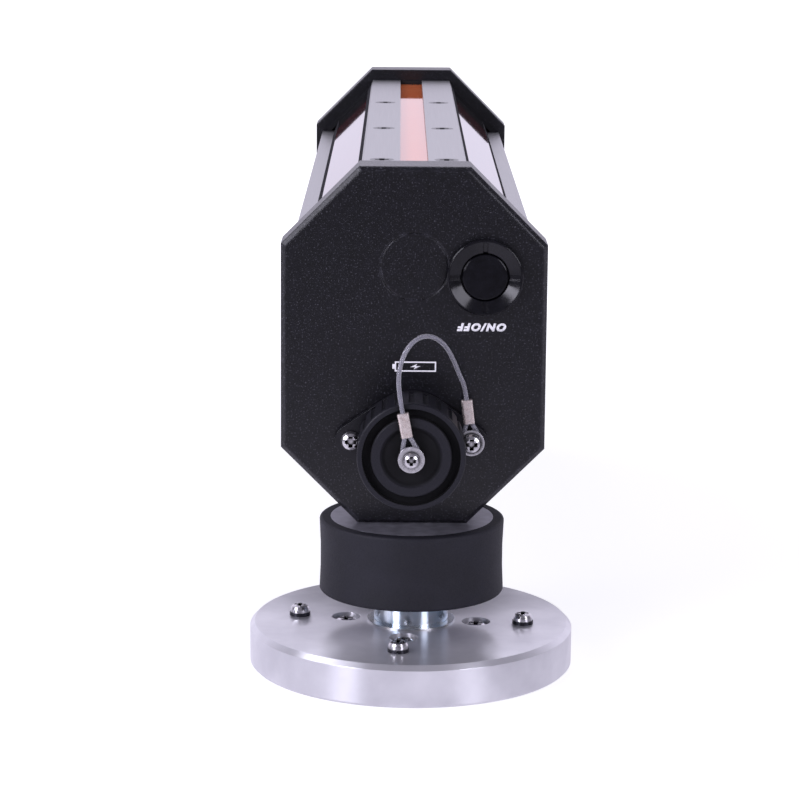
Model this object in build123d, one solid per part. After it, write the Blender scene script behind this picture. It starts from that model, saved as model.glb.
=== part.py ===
from build123d import *
import math
import os

# Laser receiver lying on its two magnet feet. Millimetres, Z up, Y runs from the front cap to the rear cap.
# The origin is on the floor, midway between the feet.

# End caps
CAP_W = 77.0            # across the side flats
CAP_H = 105.0           # from the bottom flat to the top flat
CAP_TOP_W = 32.0        # top and bottom flats, between the 45 degree corners
CAP_T = 15.0            # thickness
CAP_BEVEL = 1.2         # round the outer face
CAP_WALL = 5.0          # front wall that is left in front of the pocket
POCKET_RIM = 6.0        # cap's wall round its pocket
STUD_SETBACK = 9.5      # foot's axis behind the cap's outer face
STUD_SEAT_H = 16.0      # solid metal above the bottom flat

# Body between the caps
BODY_L = 321.0
OVERHANG = 4.1          # cap's edge above and below the body
SIDE_OVERHANG = 2.6     # cap's edge beside the body
BODY_TOP_W = 31.0       # top and bottom flats
GASKET_T = 1.0
STRIP_VIEW = 8.6        # clear width of the strip window
WINDOW_T = 2.3
LIP_T = 1.7             # lip that holds a window down
LIP = 1.2               # how far a lip reaches over a window
BAR_FOOT = 4.0          # top bar's sloping side, down to the slanted window
BAR_FOOT_T = 0.3
RAIL_W = 6.0            # corner rail, down the side
LEDGE_DROP = 0.4        # rail's flat top under the body's corner
PANE_BEVEL = 4.3        # steep lower edge of a slanted window
PANE_FOOT = 0.5         # its flat on the rail
SIDE_VIEW = 30.0        # clear height of a side window

# Bulkheads and tie rods
BULKHEAD_T = 8.0
BULKHEAD_FIRST = 53.5   # from the front cap's outer face
BULKHEAD_PITCH = 92.3
BULKHEAD_COUNT = 3
OPENING_W = 34.0
OPENING_TOP = 24.0
OPENING_DROP = 18.0
ROD_D = 6.0
ROD_BOSS_D = 12.0
ROD_THREAD = 9.0
UPPER_ROD = (7.5, 36.0)
LOWER_ROD_INSET = 8.3   # from the body's side
LOWER_ROD_RISE = 5.3    # above the body's lower corner
ROD_SCREW_D = 4.0
ROD_SCREW_GRIP = 8.0
BAR_SCREW_D = 4.0
BAR_SCREW_L = 8.0

# Boards
BOARD_T = 1.6
SENSOR_BOARD_W = 15.0
SENSOR_EDGE = 3.0          # slanted board inside its window
SENSOR_BOARD_DEPTH = 9.0   # board's outer face behind the facet
SENSOR_COUNT = 12
SENSOR_W = 7.0
SENSOR_L = 9.0
SENSOR_T = 2.0
LAMP_BOARD_W = 9.0
LAMP_BOARD_DROP = 4.4      # board's top under the bars
LAMP_COUNT = 16
LAMP_W = 3.4
LAMP_T = 1.6
BOARD_END_GAP = 4.0
MAIN_BOARD_OVERRUN = 4.0   # past the bulkheads that carry it
# Components on the main board: x, y from its middle, width, length, height
COMPONENTS = [
    (0.0, 0.0, 14.0, 14.0, 1.6), (-4.0, 22.0, 16.0, 16.0, 2.6), (11.0, -24.0, 6.0, 6.0, 4.0),
    (11.0, -14.0, 6.0, 6.0, 4.0), (-11.0, -24.0, 6.0, 6.0, 6.5), (-11.0, -15.0, 6.0, 6.0, 6.5),
]
TERMINAL_W = 9.0
TERMINAL_L = 8.0
TERMINAL_H = 7.0
TERMINAL_X = 8.5
TERMINAL_SETBACK = 18.0    # behind the board's front edge

# Battery
CELL_D = 18.4
CELL_L = 65.0
CRADLE_FLOOR = 1.5
CRADLE_W = 48.0
CRADLE_TOP = 12.2          # cradle's height
STRAP_T = 1.0
STRAP_W = 20.0

# Feet
DISC_D = 96.0
DISC_T = 12.5
DISC_TOP_BEVEL = 1.4
DISC_FOOT_BEVEL = 0.8
PATTERN_ANGLE = -6.4       # both screw rings, turned clockwise from above
PATTERN_COUNT = 4
RETAINER_D = 46.0
RETAINER_T = 3.0
RETAINER_EDGE = 3.5        # screw to the plate's edge
RETAINER_SCREW_D = 4.0
RETAINER_HEAD_D = 7.0
RETAINER_HEAD_H = 2.6
COUNTERBORE_D = 8.6
COUNTERBORE_DEPTH = 3.0
MAGNET_WEB = 0.5           # metal between a magnet and the retaining plate
MAGNET_D = 20.0
MAGNET_T = 7.0
MAGNET_SCREW_D = 3.0
MAGNET_SCREW_GRIP = 4.0
PAN_HEAD_D = 5.7
PAN_HEAD_H = 2.3
SPRING_WASHER_D = 6.2
SPRING_WASHER_T = 0.9
SPRING_WASHER_SPLIT = 0.5
BUSH_WALL = 2.0
BUSH_PROUD = 0.5
POST_INSET = 12.0          # post inside the retaining plate's edge
POST_FLANGE = 4.0          # flange outside the post
POST_FLANGE_T = 3.0
POST_GAP = 9.8             # post that shows between disc and buffer

# Rubber buffers
BUFFER_D = 54.8
BUFFER_H = 22.0
BUFFER_WAIST = 0.4
BUFFER_EDGE = 0.8
BUFFER_RIM = 3.3           # rubber outside the steel plates
PLATE_T = 2.5
STUD_D = 8.0
TOP_STUD_L = 12.0
LOW_STUD_L = 9.0

# Push button
BUTTON_INSET = 18.1        # from the cap's side
BUTTON_Z = 21.0            # from the cap's centre
BEZEL_D = 22.0
BEZEL_H = 2.4
BEZEL_RIM = 0.6
BARREL_D = 18.8
BARREL_L = 18.0
BARREL_WALL = 1.4
ACTUATOR_D = 13.3
ACTUATOR_SINK = 1.3        # actuator's face below the bezel's rim
BUTTON_TRAVEL = 2.5
BUTTON_NUT_T = 3.5
BUTTON_NUT_AF = 21.0
BUTTON_SEAL_T = 0.8
SPRING_R = 5.0
SPRING_WIRE = 0.8
SPRING_TURNS = 4
NOTCH_COUNT = 4
NOTCH_W = 1.3
NOTCH_DEPTH = 0.5
STEP_IN = 2.0              # behind the end cap's face, where the barrel's bore widens
SHOULDER_T = 2.0
STEM_R = 3.4
SWITCH_FACE = 12.0         # switch block's front behind the end cap's face
SWITCH_NECK_D = 6.0
SWITCH_NECK_L = 6.0        # behind the barrel

# Blanking plug
PLUG_D = 19.5
PLUG_PITCH = 20.4          # across from the button
PLUG_Z = 23.6

# Charging socket
SOCKET_X = -0.5
SOCKET_Z = -27.0
FLANGE_T = 2.4
FLANGE_R = 14.5
EAR_R = 4.6
EAR_X = 17.5
SOCKET_GASKET_T = 0.8
NOSE_D = 26.0
NOSE_END = 19.8            # nose's rim in front of the cap's face
THREAD_PITCH = 1.5
THREAD_DEPTH = 0.5
THREAD_START = 9.0
SOCKET_BORE_D = 17.0
SOCKET_TAIL_D = 20.0
SOCKET_TAIL_L = 12.0
INSERT_FACE = 9.0
INSERT_L = 20.0
PIN_D = 1.6
PIN_RING_R = 4.0
PIN_COUNT = 3
PIN_REACH = 6.0
PIN_TAIL = 3.0
SOCKET_SCREW_D = 3.0
SOCKET_SCREW_L = 8.0

# Dust cap
DUST_CAP_D = 31.0
DUST_CAP_FRONT = 25.0      # cap's front rim in front of the end cap's face
DUST_CAP_SKIRT = 8.0       # skirt's end in front of the end cap's face
FLUTE_COUNT = 24
FLUTE_R = 0.9
FLUTE_DEPTH = 0.55
FLUTE_END = 2.5            # smooth rim in front of the flutes
GROOVE_OUT_D = 28.0
GROOVE_IN_D = 23.0
GROOVE_DEPTH = 2.4
RECESS_D = 15.4
RECESS_DEPTH = 1.2
CAP_SEAL_T = 1.4
CAP_SEAL_D = 18.0
CAP_SCREW_D = 2.5
CAP_SCREW_L = 6.5
CAP_HEAD_D = 4.5
CAP_HEAD_H = 1.7
WASHER_D = 7.6
WASHER_T = 0.7
NECK_R = 1.9

# Tether
WIRE_D = 1.3
EYE_R = 2.85
STRAND_X = 0.75            # each strand beside the ferrule's middle
FERRULE_W = 3.3
FERRULE_T = 2.0
FERRULE_L = 7.0
FERRULE_EDGE = 0.6
CAP_EYE_TILT = 11.0        # degrees, towards the left
CAP_EYE_L = 6.3            # screw to ferrule
PANEL_EYE_TILT = 7.0
PANEL_EYE_L = 5.6
CAP_LEAD = 4.7             # straight wire out of the cap's ferrule
PANEL_LEAD = 4.0           # straight wire out of the panel's ferrule
# Free stretch between them, from the socket's axis on the end cap's face
TETHER_ROUTE = [
    (-3.9, -26.2, 23.6), (-2.9, -25.2, 28.2), (-1.1, -23.5, 31.6), (1.5, -21.0, 33.6), (4.2, -18.0, 33.8),
    (7.0, -14.8, 32.5), (9.8, -11.6, 29.5), (12.0, -8.6, 25.0), (13.7, -5.9, 20.4),
]

# Share of the shorter run that a bend takes up on each side of its corner
BEND_SHARE = 0.45

# Inner leads, y from the front cap's outer face and z from the caps' centre line
LEAD_D = 2.4
LEAD_END = 5.5             # straight wire at each end
CHARGE_ROUTE = [
    (-1.9, 28.0, -22.8), (-4.4, 39.0, -14.4), (-6.6, 50.0, -6.6), (-8.0, 62.5, -1.2), (-8.3, 75.5, 1.0),
    (-7.7, 89.5, 1.5), (-8.6, 104.5, 1.0), (-8.9, 118.5, 1.2), (-8.7, 131.0, -1.0), (-8.4, 142.0, -6.6),
]
BUTTON_ROUTE = [
    (18.6, 37.5, 18.6), (15.0, 47.0, 13.0), (11.6, 57.0, 7.4), (9.4, 68.0, 3.6), (8.2, 80.5, 1.8),
    (7.9, 94.5, 1.2), (8.9, 108.5, 1.4), (8.4, 120.5, 1.1), (8.6, 131.0, -1.0), (8.3, 142.0, -6.4),
]

# Screw heads, as shares of the head's diameter and height
HEAD_EDGE = 0.45           # height of the straight edge
HEAD_SHOULDER = (0.84, 0.82)
HEAD_FLAT = 0.56
CROSS_L = 0.58
CROSS_W = 0.21
SUNK_HEAD = 1.85           # countersunk head over its thread

# Clearances
RUN = 0.05                 # running fit, on the radius
FLOAT = 0.1                # end float of a turning flange
SEAT = 0.05                # piece in its seat
EDGE = 0.1                 # window's edge in its groove
CLEAR = 0.3                # moving pieces that don't bear on each other
HOLE = 0.4                 # clearance hole, on the diameter
SLOT = 0.2                 # board in its notch, each side

# Sizes, levels and stations that follow from them
CAP_CHAMFER = (CAP_W - CAP_TOP_W) / 2
BUTTON_X = CAP_W / 2 - BUTTON_INSET
PLUG_X = BUTTON_X - PLUG_PITCH
RETAINER_RING_R = RETAINER_D / 2 - RETAINER_EDGE
MAGNET_RING_R = RETAINER_D / 2 + MAGNET_WEB + MAGNET_D / 2
POST_D = RETAINER_D - 2 * POST_INSET
POST_FLANGE_D = POST_D + 2 * POST_FLANGE
CAP_Z0 = DISC_T + POST_GAP + BUFFER_H
CZ = CAP_Z0 + CAP_H / 2
REAR_IN_Y = BODY_L / 2
REAR_Y = REAR_IN_Y + CAP_T
REAR_FOOT_Y = REAR_Y - STUD_SETBACK
FRONT_IN_Y = -REAR_IN_Y
FRONT_Y = -REAR_Y
FRONT_FOOT_Y = -REAR_FOOT_Y
BODY_Y0 = FRONT_IN_Y + GASKET_T
BODY_Y1 = REAR_IN_Y - GASKET_T
BODY_HW = CAP_W / 2 - SIDE_OVERHANG
BODY_HH = CAP_H / 2 - OVERHANG
TOP_HALF = BODY_TOP_W / 2
BODY_CHAMFER = BODY_HW - TOP_HALF
LOWER_ROD = (BODY_HW - LOWER_ROD_INSET, BODY_CHAMFER - BODY_HH + LOWER_ROD_RISE)
SLANT_L = BODY_CHAMFER * math.sqrt(2)
SKIN = LIP_T + WINDOW_T + 2 * SEAT
STRIP_HALF = STRIP_VIEW / 2
LEDGE_Z = BODY_HH - BODY_CHAMFER - LEDGE_DROP
LEDGE_X = TOP_HALF + BODY_HH - SKIN * math.sqrt(2) - LEDGE_Z
PANE_D0 = LIP_T + SEAT
PANE_D1 = PANE_D0 + WINDOW_T
PANE_TOE = (BODY_HH - LEDGE_Z - SEAT) * math.sqrt(2) - PANE_D1
PANE_END = PANE_TOE - PANE_BEVEL
SIDE_START = RAIL_W + SIDE_VIEW
POST_FLANGE_Z = RETAINER_T + FLOAT
POST_FLANGE_TOP = POST_FLANGE_Z + POST_FLANGE_T
FLANGE_POCKET_TOP = POST_FLANGE_TOP + FLOAT
POST_TOP = DISC_T + POST_GAP
BUSH_D = POST_D + 2 * RUN + 2 * BUSH_WALL
PLATE_D = BUFFER_D - 2 * BUFFER_RIM
BULKHEAD_Y = [FRONT_Y + BULKHEAD_FIRST + k * BULKHEAD_PITCH for k in range(BULKHEAD_COUNT)]
BOARD_Y0 = BODY_Y0 + BOARD_END_GAP
BOARD_Y1 = BODY_Y1 - BOARD_END_GAP
BOARD_FLOOR = SENSOR_BOARD_DEPTH + BOARD_T
LAMP_BOARD_TOP = BODY_HH - SKIN - LAMP_BOARD_DROP
SOCKET_FACE = SOCKET_GASKET_T + FLANGE_T
PANEL_EYE_Y = SOCKET_FACE + SEAT + FERRULE_T / 2
PANEL_WASHER_Y = PANEL_EYE_Y + WIRE_D / 2 + SEAT
CAP_EYE_Y = DUST_CAP_FRONT + CLEAR + SEAT + FERRULE_T / 2
EYE_BOSS_Y = CAP_EYE_Y - WIRE_D / 2 - CLEAR
CAP_WASHER_Y = CAP_EYE_Y + WIRE_D / 2 + CLEAR
CAP_INNER = NOSE_END + SEAT + CAP_SEAL_T
BORE_R = ACTUATOR_D / 2 + CLEAR + SEAT
BARREL_BORE_R = BARREL_D / 2 - BARREL_WALL
BARREL_TAIL = BARREL_L - BUTTON_SEAL_T
BEZEL_FACE = BUTTON_SEAL_T + BEZEL_H
BEZEL_DISH = BEZEL_FACE - ACTUATOR_SINK - CLEAR
FOOT_STATIONS = {"front": FRONT_FOOT_Y, "rear": REAR_FOOT_Y}


# Basic shapes

def prism(points, y0, y1):
    """Bar along Y on an outline of (x, z) points, z from the caps' centre line."""
    outline = Polyline(*[(x, y0, CZ + z) for x, z in points], close=True)
    return extrude(make_face(outline), amount=y1 - y0, dir=(0, 1, 0))


def rod_z(d, z0, z1, x=0.0, y=0.0):
    return Pos(x, y, (z0 + z1) / 2) * Cylinder(d / 2, z1 - z0)


def rod_y(d, y0, y1, x=0.0, z=0.0):
    """Round bar along Y, z from the caps' centre line."""
    return Pos(x, (y0 + y1) / 2, CZ + z) * Rot(90, 0, 0) * Cylinder(d / 2, y1 - y0)


def block(x0, x1, y0, y1, z0, z1):
    """Box between two corners, z from the caps' centre line."""
    box = Box(x1 - x0, y1 - y0, z1 - z0)
    return Pos((x0 + x1) / 2, (y0 + y1) / 2, CZ + (z0 + z1) / 2) * box


def turned_z(profile, x=0.0, y=0.0):
    """Turned piece about Z from (radius, z) points."""
    outline = Polyline(*[(r, 0, z) for r, z in profile], close=True)
    return Pos(x, y, 0) * revolve(make_face(outline), Axis.Z)


def turned_y(profile, x, z):
    """Turned piece about Y from (radius, distance in front of the end cap's face) points."""
    outline = Polyline(*[(r, FRONT_Y - out, 0) for r, out in profile], close=True)
    return Pos(x, 0, CZ + z) * revolve(make_face(outline), Axis.Y)


def octagon(half_w, half_h, leg, inset=0.0):
    """Eight corners of a chamfered rectangle, drawn in by an even inset."""
    w = half_w - inset
    h = half_h - inset
    c = leg - inset * (2 - math.sqrt(2))
    right = [(w - c, h), (w, h - c), (w, c - h), (w - c, -h)]
    return right + left_of(right)[::-1]


def cap_outline(inset=0.0):
    return octagon(CAP_W / 2, CAP_H / 2, CAP_CHAMFER, inset)


def body_outline(inset=0.0):
    return octagon(BODY_HW, BODY_HH, BODY_CHAMFER, inset)


def slant(s, depth):
    """Point on the right slanted facet: s down from its top corner, depth inwards."""
    k = math.sqrt(0.5)
    return (TOP_HALF + (s - depth) * k, BODY_HH - (s + depth) * k)


def side(s, depth):
    """Point on the right side facet: s down from its top corner, depth inwards."""
    return (BODY_HW - depth, BODY_HH - BODY_CHAMFER - s)


def facet_box(facet, s0, s1, d0, d1):
    """Rectangle behind a facet, from s0 to s1 along it and from d0 to d1 deep."""
    return [facet(s0, d0), facet(s1, d0), facet(s1, d1), facet(s0, d1)]


def left_of(points):
    return [(-x, z) for x, z in points]


def pair(points, y0, y1):
    """The same bar on the right and on the left."""
    return Compound(children=[prism(points, y0, y1), prism(left_of(points), y0, y1)])


def group(shapes):
    return Compound(children=list(shapes))


def cross_recess(head_d, head_h):
    arm = Box(head_d * CROSS_L, head_d * CROSS_W, head_h)
    return Pos(0, 0, head_h) * (arm + Rot(0, 0, 90) * arm)


def pan_screw(d, head_d, head_h, length):
    """Cross-head screw along Z with the underside of its head at zero."""
    r = head_d / 2
    wide, high = HEAD_SHOULDER
    head = turned_z([(0, 0), (r, 0), (r, head_h * HEAD_EDGE), (r * wide, head_h * high),
                     (r * HEAD_FLAT, head_h), (0, head_h)])
    return head + rod_z(d, -length, 0) - cross_recess(head_d, head_h)


def sunk_head(d, margin=0.0):
    """Cone of a countersunk head, its top at zero."""
    r = SUNK_HEAD * d / 2 + margin
    return turned_z([(0, 0), (r, 0), (0, -r)])


def sunk_screw(d, length):
    """Countersunk screw along Z with the top of its head at zero."""
    depth = (SUNK_HEAD - 1) * d / 2
    return sunk_head(d) + rod_z(d, -length, 0) - Pos(0, 0, -depth) * cross_recess(SUNK_HEAD * d, depth)


def washer(d, bore, z0, z1):
    return rod_z(d, z0, z1) - rod_z(bore, z0, z1)


def facing_front(shape, x, out, z):
    """A piece drawn along Z, turned to point at the front and set on the end cap's face."""
    return Pos(x, FRONT_Y - out, CZ + z) * Rot(90, 0, 0) * shape


# Feet

def ring(radius):
    """Places of a foot's ring of screws."""
    step = 360 / PATTERN_COUNT
    return [Rot(0, 0, PATTERN_ANGLE + k * step) * Pos(radius, 0, 0) for k in range(PATTERN_COUNT)]


def foot_disc():
    r = DISC_D / 2
    disc = turned_z([(0, 0), (r - DISC_FOOT_BEVEL, 0), (r, DISC_FOOT_BEVEL), (r, DISC_T - DISC_TOP_BEVEL),
                     (r - DISC_TOP_BEVEL, DISC_T), (0, DISC_T)])
    disc -= rod_z(BUSH_D, 0, DISC_T)
    disc -= rod_z(POST_FLANGE_D + 2 * (CLEAR + SLOT), 0, FLANGE_POCKET_TOP)
    disc -= rod_z(RETAINER_D + 2 * SEAT, 0, RETAINER_T)
    for place in ring(RETAINER_RING_R):
        disc -= place * rod_z(RETAINER_SCREW_D + HOLE, 0, DISC_T)
        disc -= place * rod_z(COUNTERBORE_D, DISC_T - COUNTERBORE_DEPTH, DISC_T)
    for place in ring(MAGNET_RING_R):
        disc -= place * rod_z(MAGNET_SCREW_D + HOLE, 0, DISC_T)
        disc -= place * rod_z(MAGNET_D + 2 * SEAT, 0, MAGNET_T)
    return disc


def foot_bush():
    top = DISC_T + BUSH_PROUD
    return rod_z(BUSH_D, FLANGE_POCKET_TOP, top) - rod_z(POST_D + 2 * RUN, FLANGE_POCKET_TOP, top)


def foot_retainer():
    plate = rod_z(RETAINER_D, 0, RETAINER_T)
    for place in ring(RETAINER_RING_R):
        plate -= place * rod_z(RETAINER_SCREW_D, 0, RETAINER_T)
    return plate


def foot_retainer_screws():
    seat = DISC_T - COUNTERBORE_DEPTH
    screw = Pos(0, 0, seat) * pan_screw(RETAINER_SCREW_D, RETAINER_HEAD_D, RETAINER_HEAD_H, seat - CLEAR)
    return group(place * screw for place in ring(RETAINER_RING_R))


def foot_magnets():
    magnet = rod_z(MAGNET_D, 0, MAGNET_T) - rod_z(MAGNET_SCREW_D, MAGNET_T - MAGNET_SCREW_GRIP, MAGNET_T)
    return group(place * magnet for place in ring(MAGNET_RING_R))


def foot_magnet_screws():
    seat = DISC_T + SPRING_WASHER_T
    length = seat - MAGNET_T + MAGNET_SCREW_GRIP
    screw = Pos(0, 0, seat) * pan_screw(MAGNET_SCREW_D, PAN_HEAD_D, PAN_HEAD_H, length)
    return group(place * screw for place in ring(MAGNET_RING_R))


def foot_spring_washers():
    r = SPRING_WASHER_D / 2
    split = Pos(r, 0, DISC_T) * Box(r, SPRING_WASHER_SPLIT, 4 * SPRING_WASHER_T)
    coil = washer(SPRING_WASHER_D, MAGNET_SCREW_D + HOLE, DISC_T, DISC_T + SPRING_WASHER_T) - split
    return group(place * coil for place in ring(MAGNET_RING_R))


def foot_post():
    post = rod_z(POST_FLANGE_D, POST_FLANGE_Z, POST_FLANGE_TOP) + rod_z(POST_D, POST_FLANGE_Z, POST_TOP)
    return post - rod_z(STUD_D, POST_TOP - LOW_STUD_L - HOLE, POST_TOP)


def rubber_buffer():
    r = BUFFER_D / 2
    z0 = POST_TOP
    z1 = POST_TOP + BUFFER_H
    waist = ThreePointArc((r, 0, z0), (r - BUFFER_WAIST, 0, (z0 + z1) / 2), (r, 0, z1))
    rest = Polyline((r, 0, z1), (0, 0, z1), (0, 0, z0), (r, 0, z0))
    rubber = revolve(make_face([waist, rest]), Axis.Z)
    rims = rubber.edges().filter_by(GeomType.CIRCLE).filter_by(lambda e: abs(e.radius - r) < SEAT)
    rubber = fillet(rims, BUFFER_EDGE)
    return rubber - rod_z(PLATE_D, z0, z0 + PLATE_T) - rod_z(PLATE_D, z1 - PLATE_T, z1)


def buffer_top_plate():
    top = CAP_Z0
    return rod_z(PLATE_D, top - PLATE_T, top) + rod_z(STUD_D, top, top + TOP_STUD_L)


def buffer_low_plate():
    low = POST_TOP
    return rod_z(PLATE_D, low, low + PLATE_T) + rod_z(STUD_D, low - LOW_STUD_L, low)


# End caps

def rod_places():
    return [(s * x, z) for x, z in (UPPER_ROD, LOWER_ROD) for s in (1, -1)]


def cap_pocket(y0, y1):
    pocket = prism(cap_outline(POCKET_RIM), y0, y1)
    pocket -= block(-CAP_W, CAP_W, y0, y1, -CAP_H, STUD_SEAT_H - CAP_H / 2)
    for x, z in rod_places():
        pocket -= rod_y(ROD_BOSS_D, y0, y1, x, z)
    return pocket


def stud_hole(y):
    return rod_z(STUD_D, CAP_Z0, CAP_Z0 + TOP_STUD_L + HOLE, 0, y)


def front_cap():
    cap = prism(cap_outline(), FRONT_Y, FRONT_IN_Y)
    cap = chamfer(cap.faces().sort_by(Axis.Y)[0].edges(), CAP_BEVEL)
    wall_y = FRONT_Y + CAP_WALL
    cap -= cap_pocket(wall_y, FRONT_IN_Y)
    cap -= nut_blank(CLEAR, CAP_T - CAP_WALL)
    cap -= stud_hole(FRONT_FOOT_Y)
    for x, z in rod_places():
        cap -= rod_y(ROD_D, FRONT_IN_Y - ROD_THREAD, FRONT_IN_Y, x, z)
    cap -= rod_y(BARREL_D + HOLE, FRONT_Y, wall_y, BUTTON_X, BUTTON_Z)
    cap -= rod_y(PLUG_D + 2 * SEAT, FRONT_Y, wall_y, PLUG_X, PLUG_Z)
    cap -= rod_y(SOCKET_TAIL_D + HOLE, FRONT_Y, FRONT_IN_Y, SOCKET_X, SOCKET_Z)
    for s in (1, -1):
        cap -= rod_y(SOCKET_SCREW_D, FRONT_Y, wall_y, SOCKET_X + s * EAR_X, SOCKET_Z)
    return cap


def rear_cap():
    cap = prism(cap_outline(), REAR_IN_Y, REAR_Y)
    cap = chamfer(cap.faces().sort_by(Axis.Y)[-1].edges(), CAP_BEVEL)
    cap -= cap_pocket(REAR_IN_Y, REAR_Y - CAP_WALL)
    cap -= stud_hole(REAR_FOOT_Y)
    for x, z in rod_places():
        cap -= rod_y(ROD_SCREW_D + HOLE, REAR_IN_Y, REAR_Y, x, z)
        cap -= Pos(x, REAR_Y, CZ + z) * Rot(-90, 0, 0) * sunk_head(ROD_SCREW_D, SEAT)
    return cap


def end_gaskets():
    def seal(y):
        outer = prism(cap_outline(OVERHANG + CLEAR), y, y + GASKET_T)
        return outer - prism(cap_outline(POCKET_RIM - EDGE), y, y + GASKET_T)
    return group([seal(FRONT_IN_Y), seal(BODY_Y1)])


def blanking_plug():
    return rod_y(PLUG_D, FRONT_Y, FRONT_Y + CAP_WALL, PLUG_X, PLUG_Z)


# Body

def top_bars():
    h = BODY_HH
    inner = STRIP_HALF + LIP
    section = [(STRIP_HALF, h), (TOP_HALF, h), slant(BAR_FOOT, LIP_T - BAR_FOOT_T), slant(BAR_FOOT, LIP_T),
               slant(0, LIP_T),
               (TOP_HALF - SKIN, h - SKIN), (inner, h - SKIN), (inner, h - LIP_T), (STRIP_HALF, h - LIP_T)]
    bars = []
    for points, s in ((section, 1), (left_of(section), -1)):
        bar = prism(points, BODY_Y0, BODY_Y1)
        for place in bar_screw_places(s):
            bar -= place * rod_z(BAR_SCREW_D, -SKIN, 0)
            bar -= place * sunk_head(BAR_SCREW_D, SEAT)
        bars.append(bar)
    return group(bars)


def bar_screw_places(s):
    x = s * (STRIP_HALF + TOP_HALF) / 2
    return [Pos(x, y, CZ + BODY_HH) for y in BULKHEAD_Y]


def bar_screws():
    screw = sunk_screw(BAR_SCREW_D, BAR_SCREW_L)
    return group(place * screw for s in (1, -1) for place in bar_screw_places(s))


def corner_rails():
    bend = SKIN * math.tan(math.radians(22.5))
    section = [(LEDGE_X, LEDGE_Z), (BODY_HW, LEDGE_Z), side(RAIL_W, 0), side(RAIL_W, LIP_T),
               side(RAIL_W - LIP, LIP_T), side(RAIL_W - LIP, SKIN), slant(SLANT_L - bend, SKIN)]
    return pair(section, BODY_Y0, BODY_Y1)


def strip_window():
    half = STRIP_HALF + LIP - EDGE
    return block(-half, half, BODY_Y0, BODY_Y1, BODY_HH - PANE_D1, BODY_HH - PANE_D0)


def slant_windows():
    """Panes under the bars' sloping sides, standing on the rails."""
    toe_x, toe_z = slant(PANE_TOE, PANE_D1)
    section = [slant(EDGE, PANE_D0), slant(PANE_END, PANE_D0), (toe_x + PANE_FOOT, toe_z), (toe_x, toe_z),
               slant(EDGE, PANE_D1)]
    return pair(section, BODY_Y0, BODY_Y1)


def side_windows():
    section = facet_box(side, RAIL_W - LIP + EDGE, SIDE_START + LIP - EDGE, PANE_D0, PANE_D1)
    return pair(section, BODY_Y0, BODY_Y1)


def back_channel():
    outer = body_outline()
    inner = body_outline(SKIN)
    right = [side(SIDE_START, 0), outer[2], outer[3]]
    lip = [side(SIDE_START, LIP_T), side(SIDE_START + LIP, LIP_T), side(SIDE_START + LIP, SKIN)]
    floor = [inner[2], inner[3]]
    section = right + left_of(right)[::-1] + left_of(lip) + left_of(floor) + floor[::-1] + lip[::-1]
    return prism(section, BODY_Y0, BODY_Y1)


def tie_rods():
    def rod(x, z):
        tapped = rod_y(ROD_SCREW_D, REAR_IN_Y - ROD_SCREW_GRIP - HOLE, REAR_IN_Y, x, z)
        return rod_y(ROD_D, FRONT_IN_Y - ROD_THREAD, REAR_IN_Y, x, z) - tapped
    return group(rod(x, z) for x, z in rod_places())


def rod_screws():
    screw = Rot(-90, 0, 0) * sunk_screw(ROD_SCREW_D, CAP_T + ROD_SCREW_GRIP)
    return group(Pos(x, REAR_Y, CZ + z) * screw for x, z in rod_places())


# Inside

def sensor_span(facet):
    """Along a facet, the stretch that its sensor board takes."""
    if facet is slant:
        return SENSOR_EDGE, PANE_END - SENSOR_EDGE
    middle = RAIL_W + SIDE_VIEW / 2
    return middle - SENSOR_BOARD_W / 2, middle + SENSOR_BOARD_W / 2


def bulkheads():
    hw = OPENING_W / 2
    screw_x = (STRIP_HALF + TOP_HALF) / 2

    def plate(y):
        y0 = y - BULKHEAD_T / 2
        y1 = y + BULKHEAD_T / 2
        web = prism(body_outline(SKIN), y0, y1)
        web -= block(-hw, hw, y0, y1, -OPENING_DROP, OPENING_TOP)
        lamp = LAMP_BOARD_W / 2 + SLOT
        web -= block(-lamp, lamp, y0, y1, LAMP_BOARD_TOP - BOARD_T, BODY_HH)
        for facet in (slant, side):
            s0, s1 = sensor_span(facet)
            notch = facet_box(facet, s0 - SLOT, s1 + SLOT, 0, BOARD_FLOOR)
            web -= [prism(notch, y0, y1), prism(left_of(notch), y0, y1)]
        for x, z in rod_places():
            web -= rod_y(ROD_D + 2 * SEAT, y0, y1, x, z)
        for s in (1, -1):
            web -= Pos(s * screw_x, y, CZ + BODY_HH) * rod_z(BAR_SCREW_D, -BAR_SCREW_L - HOLE, 0)
        return web

    return group(plate(y) for y in BULKHEAD_Y)


def sensor_boards():
    boards = []
    for facet in (slant, side):
        s0, s1 = sensor_span(facet)
        section = facet_box(facet, s0, s1, SENSOR_BOARD_DEPTH, BOARD_FLOOR)
        boards += [prism(section, BOARD_Y0, BOARD_Y1), prism(left_of(section), BOARD_Y0, BOARD_Y1)]
    return group(boards)


def photodiodes():
    pitch = (BOARD_Y1 - BOARD_Y0) / SENSOR_COUNT
    eyes = []
    for facet in (slant, side):
        middle = sum(sensor_span(facet)) / 2
        half = SENSOR_W / 2
        depth = SENSOR_BOARD_DEPTH
        section = facet_box(facet, middle - half, middle + half, depth - SENSOR_T, depth)
        for k in range(SENSOR_COUNT):
            y0 = BOARD_Y0 + (k + 0.5) * pitch - SENSOR_L / 2
            eyes += [prism(section, y0, y0 + SENSOR_L), prism(left_of(section), y0, y0 + SENSOR_L)]
    return group(eyes)


def lamp_board():
    half = LAMP_BOARD_W / 2
    return block(-half, half, BOARD_Y0, BOARD_Y1, LAMP_BOARD_TOP - BOARD_T, LAMP_BOARD_TOP)


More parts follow.
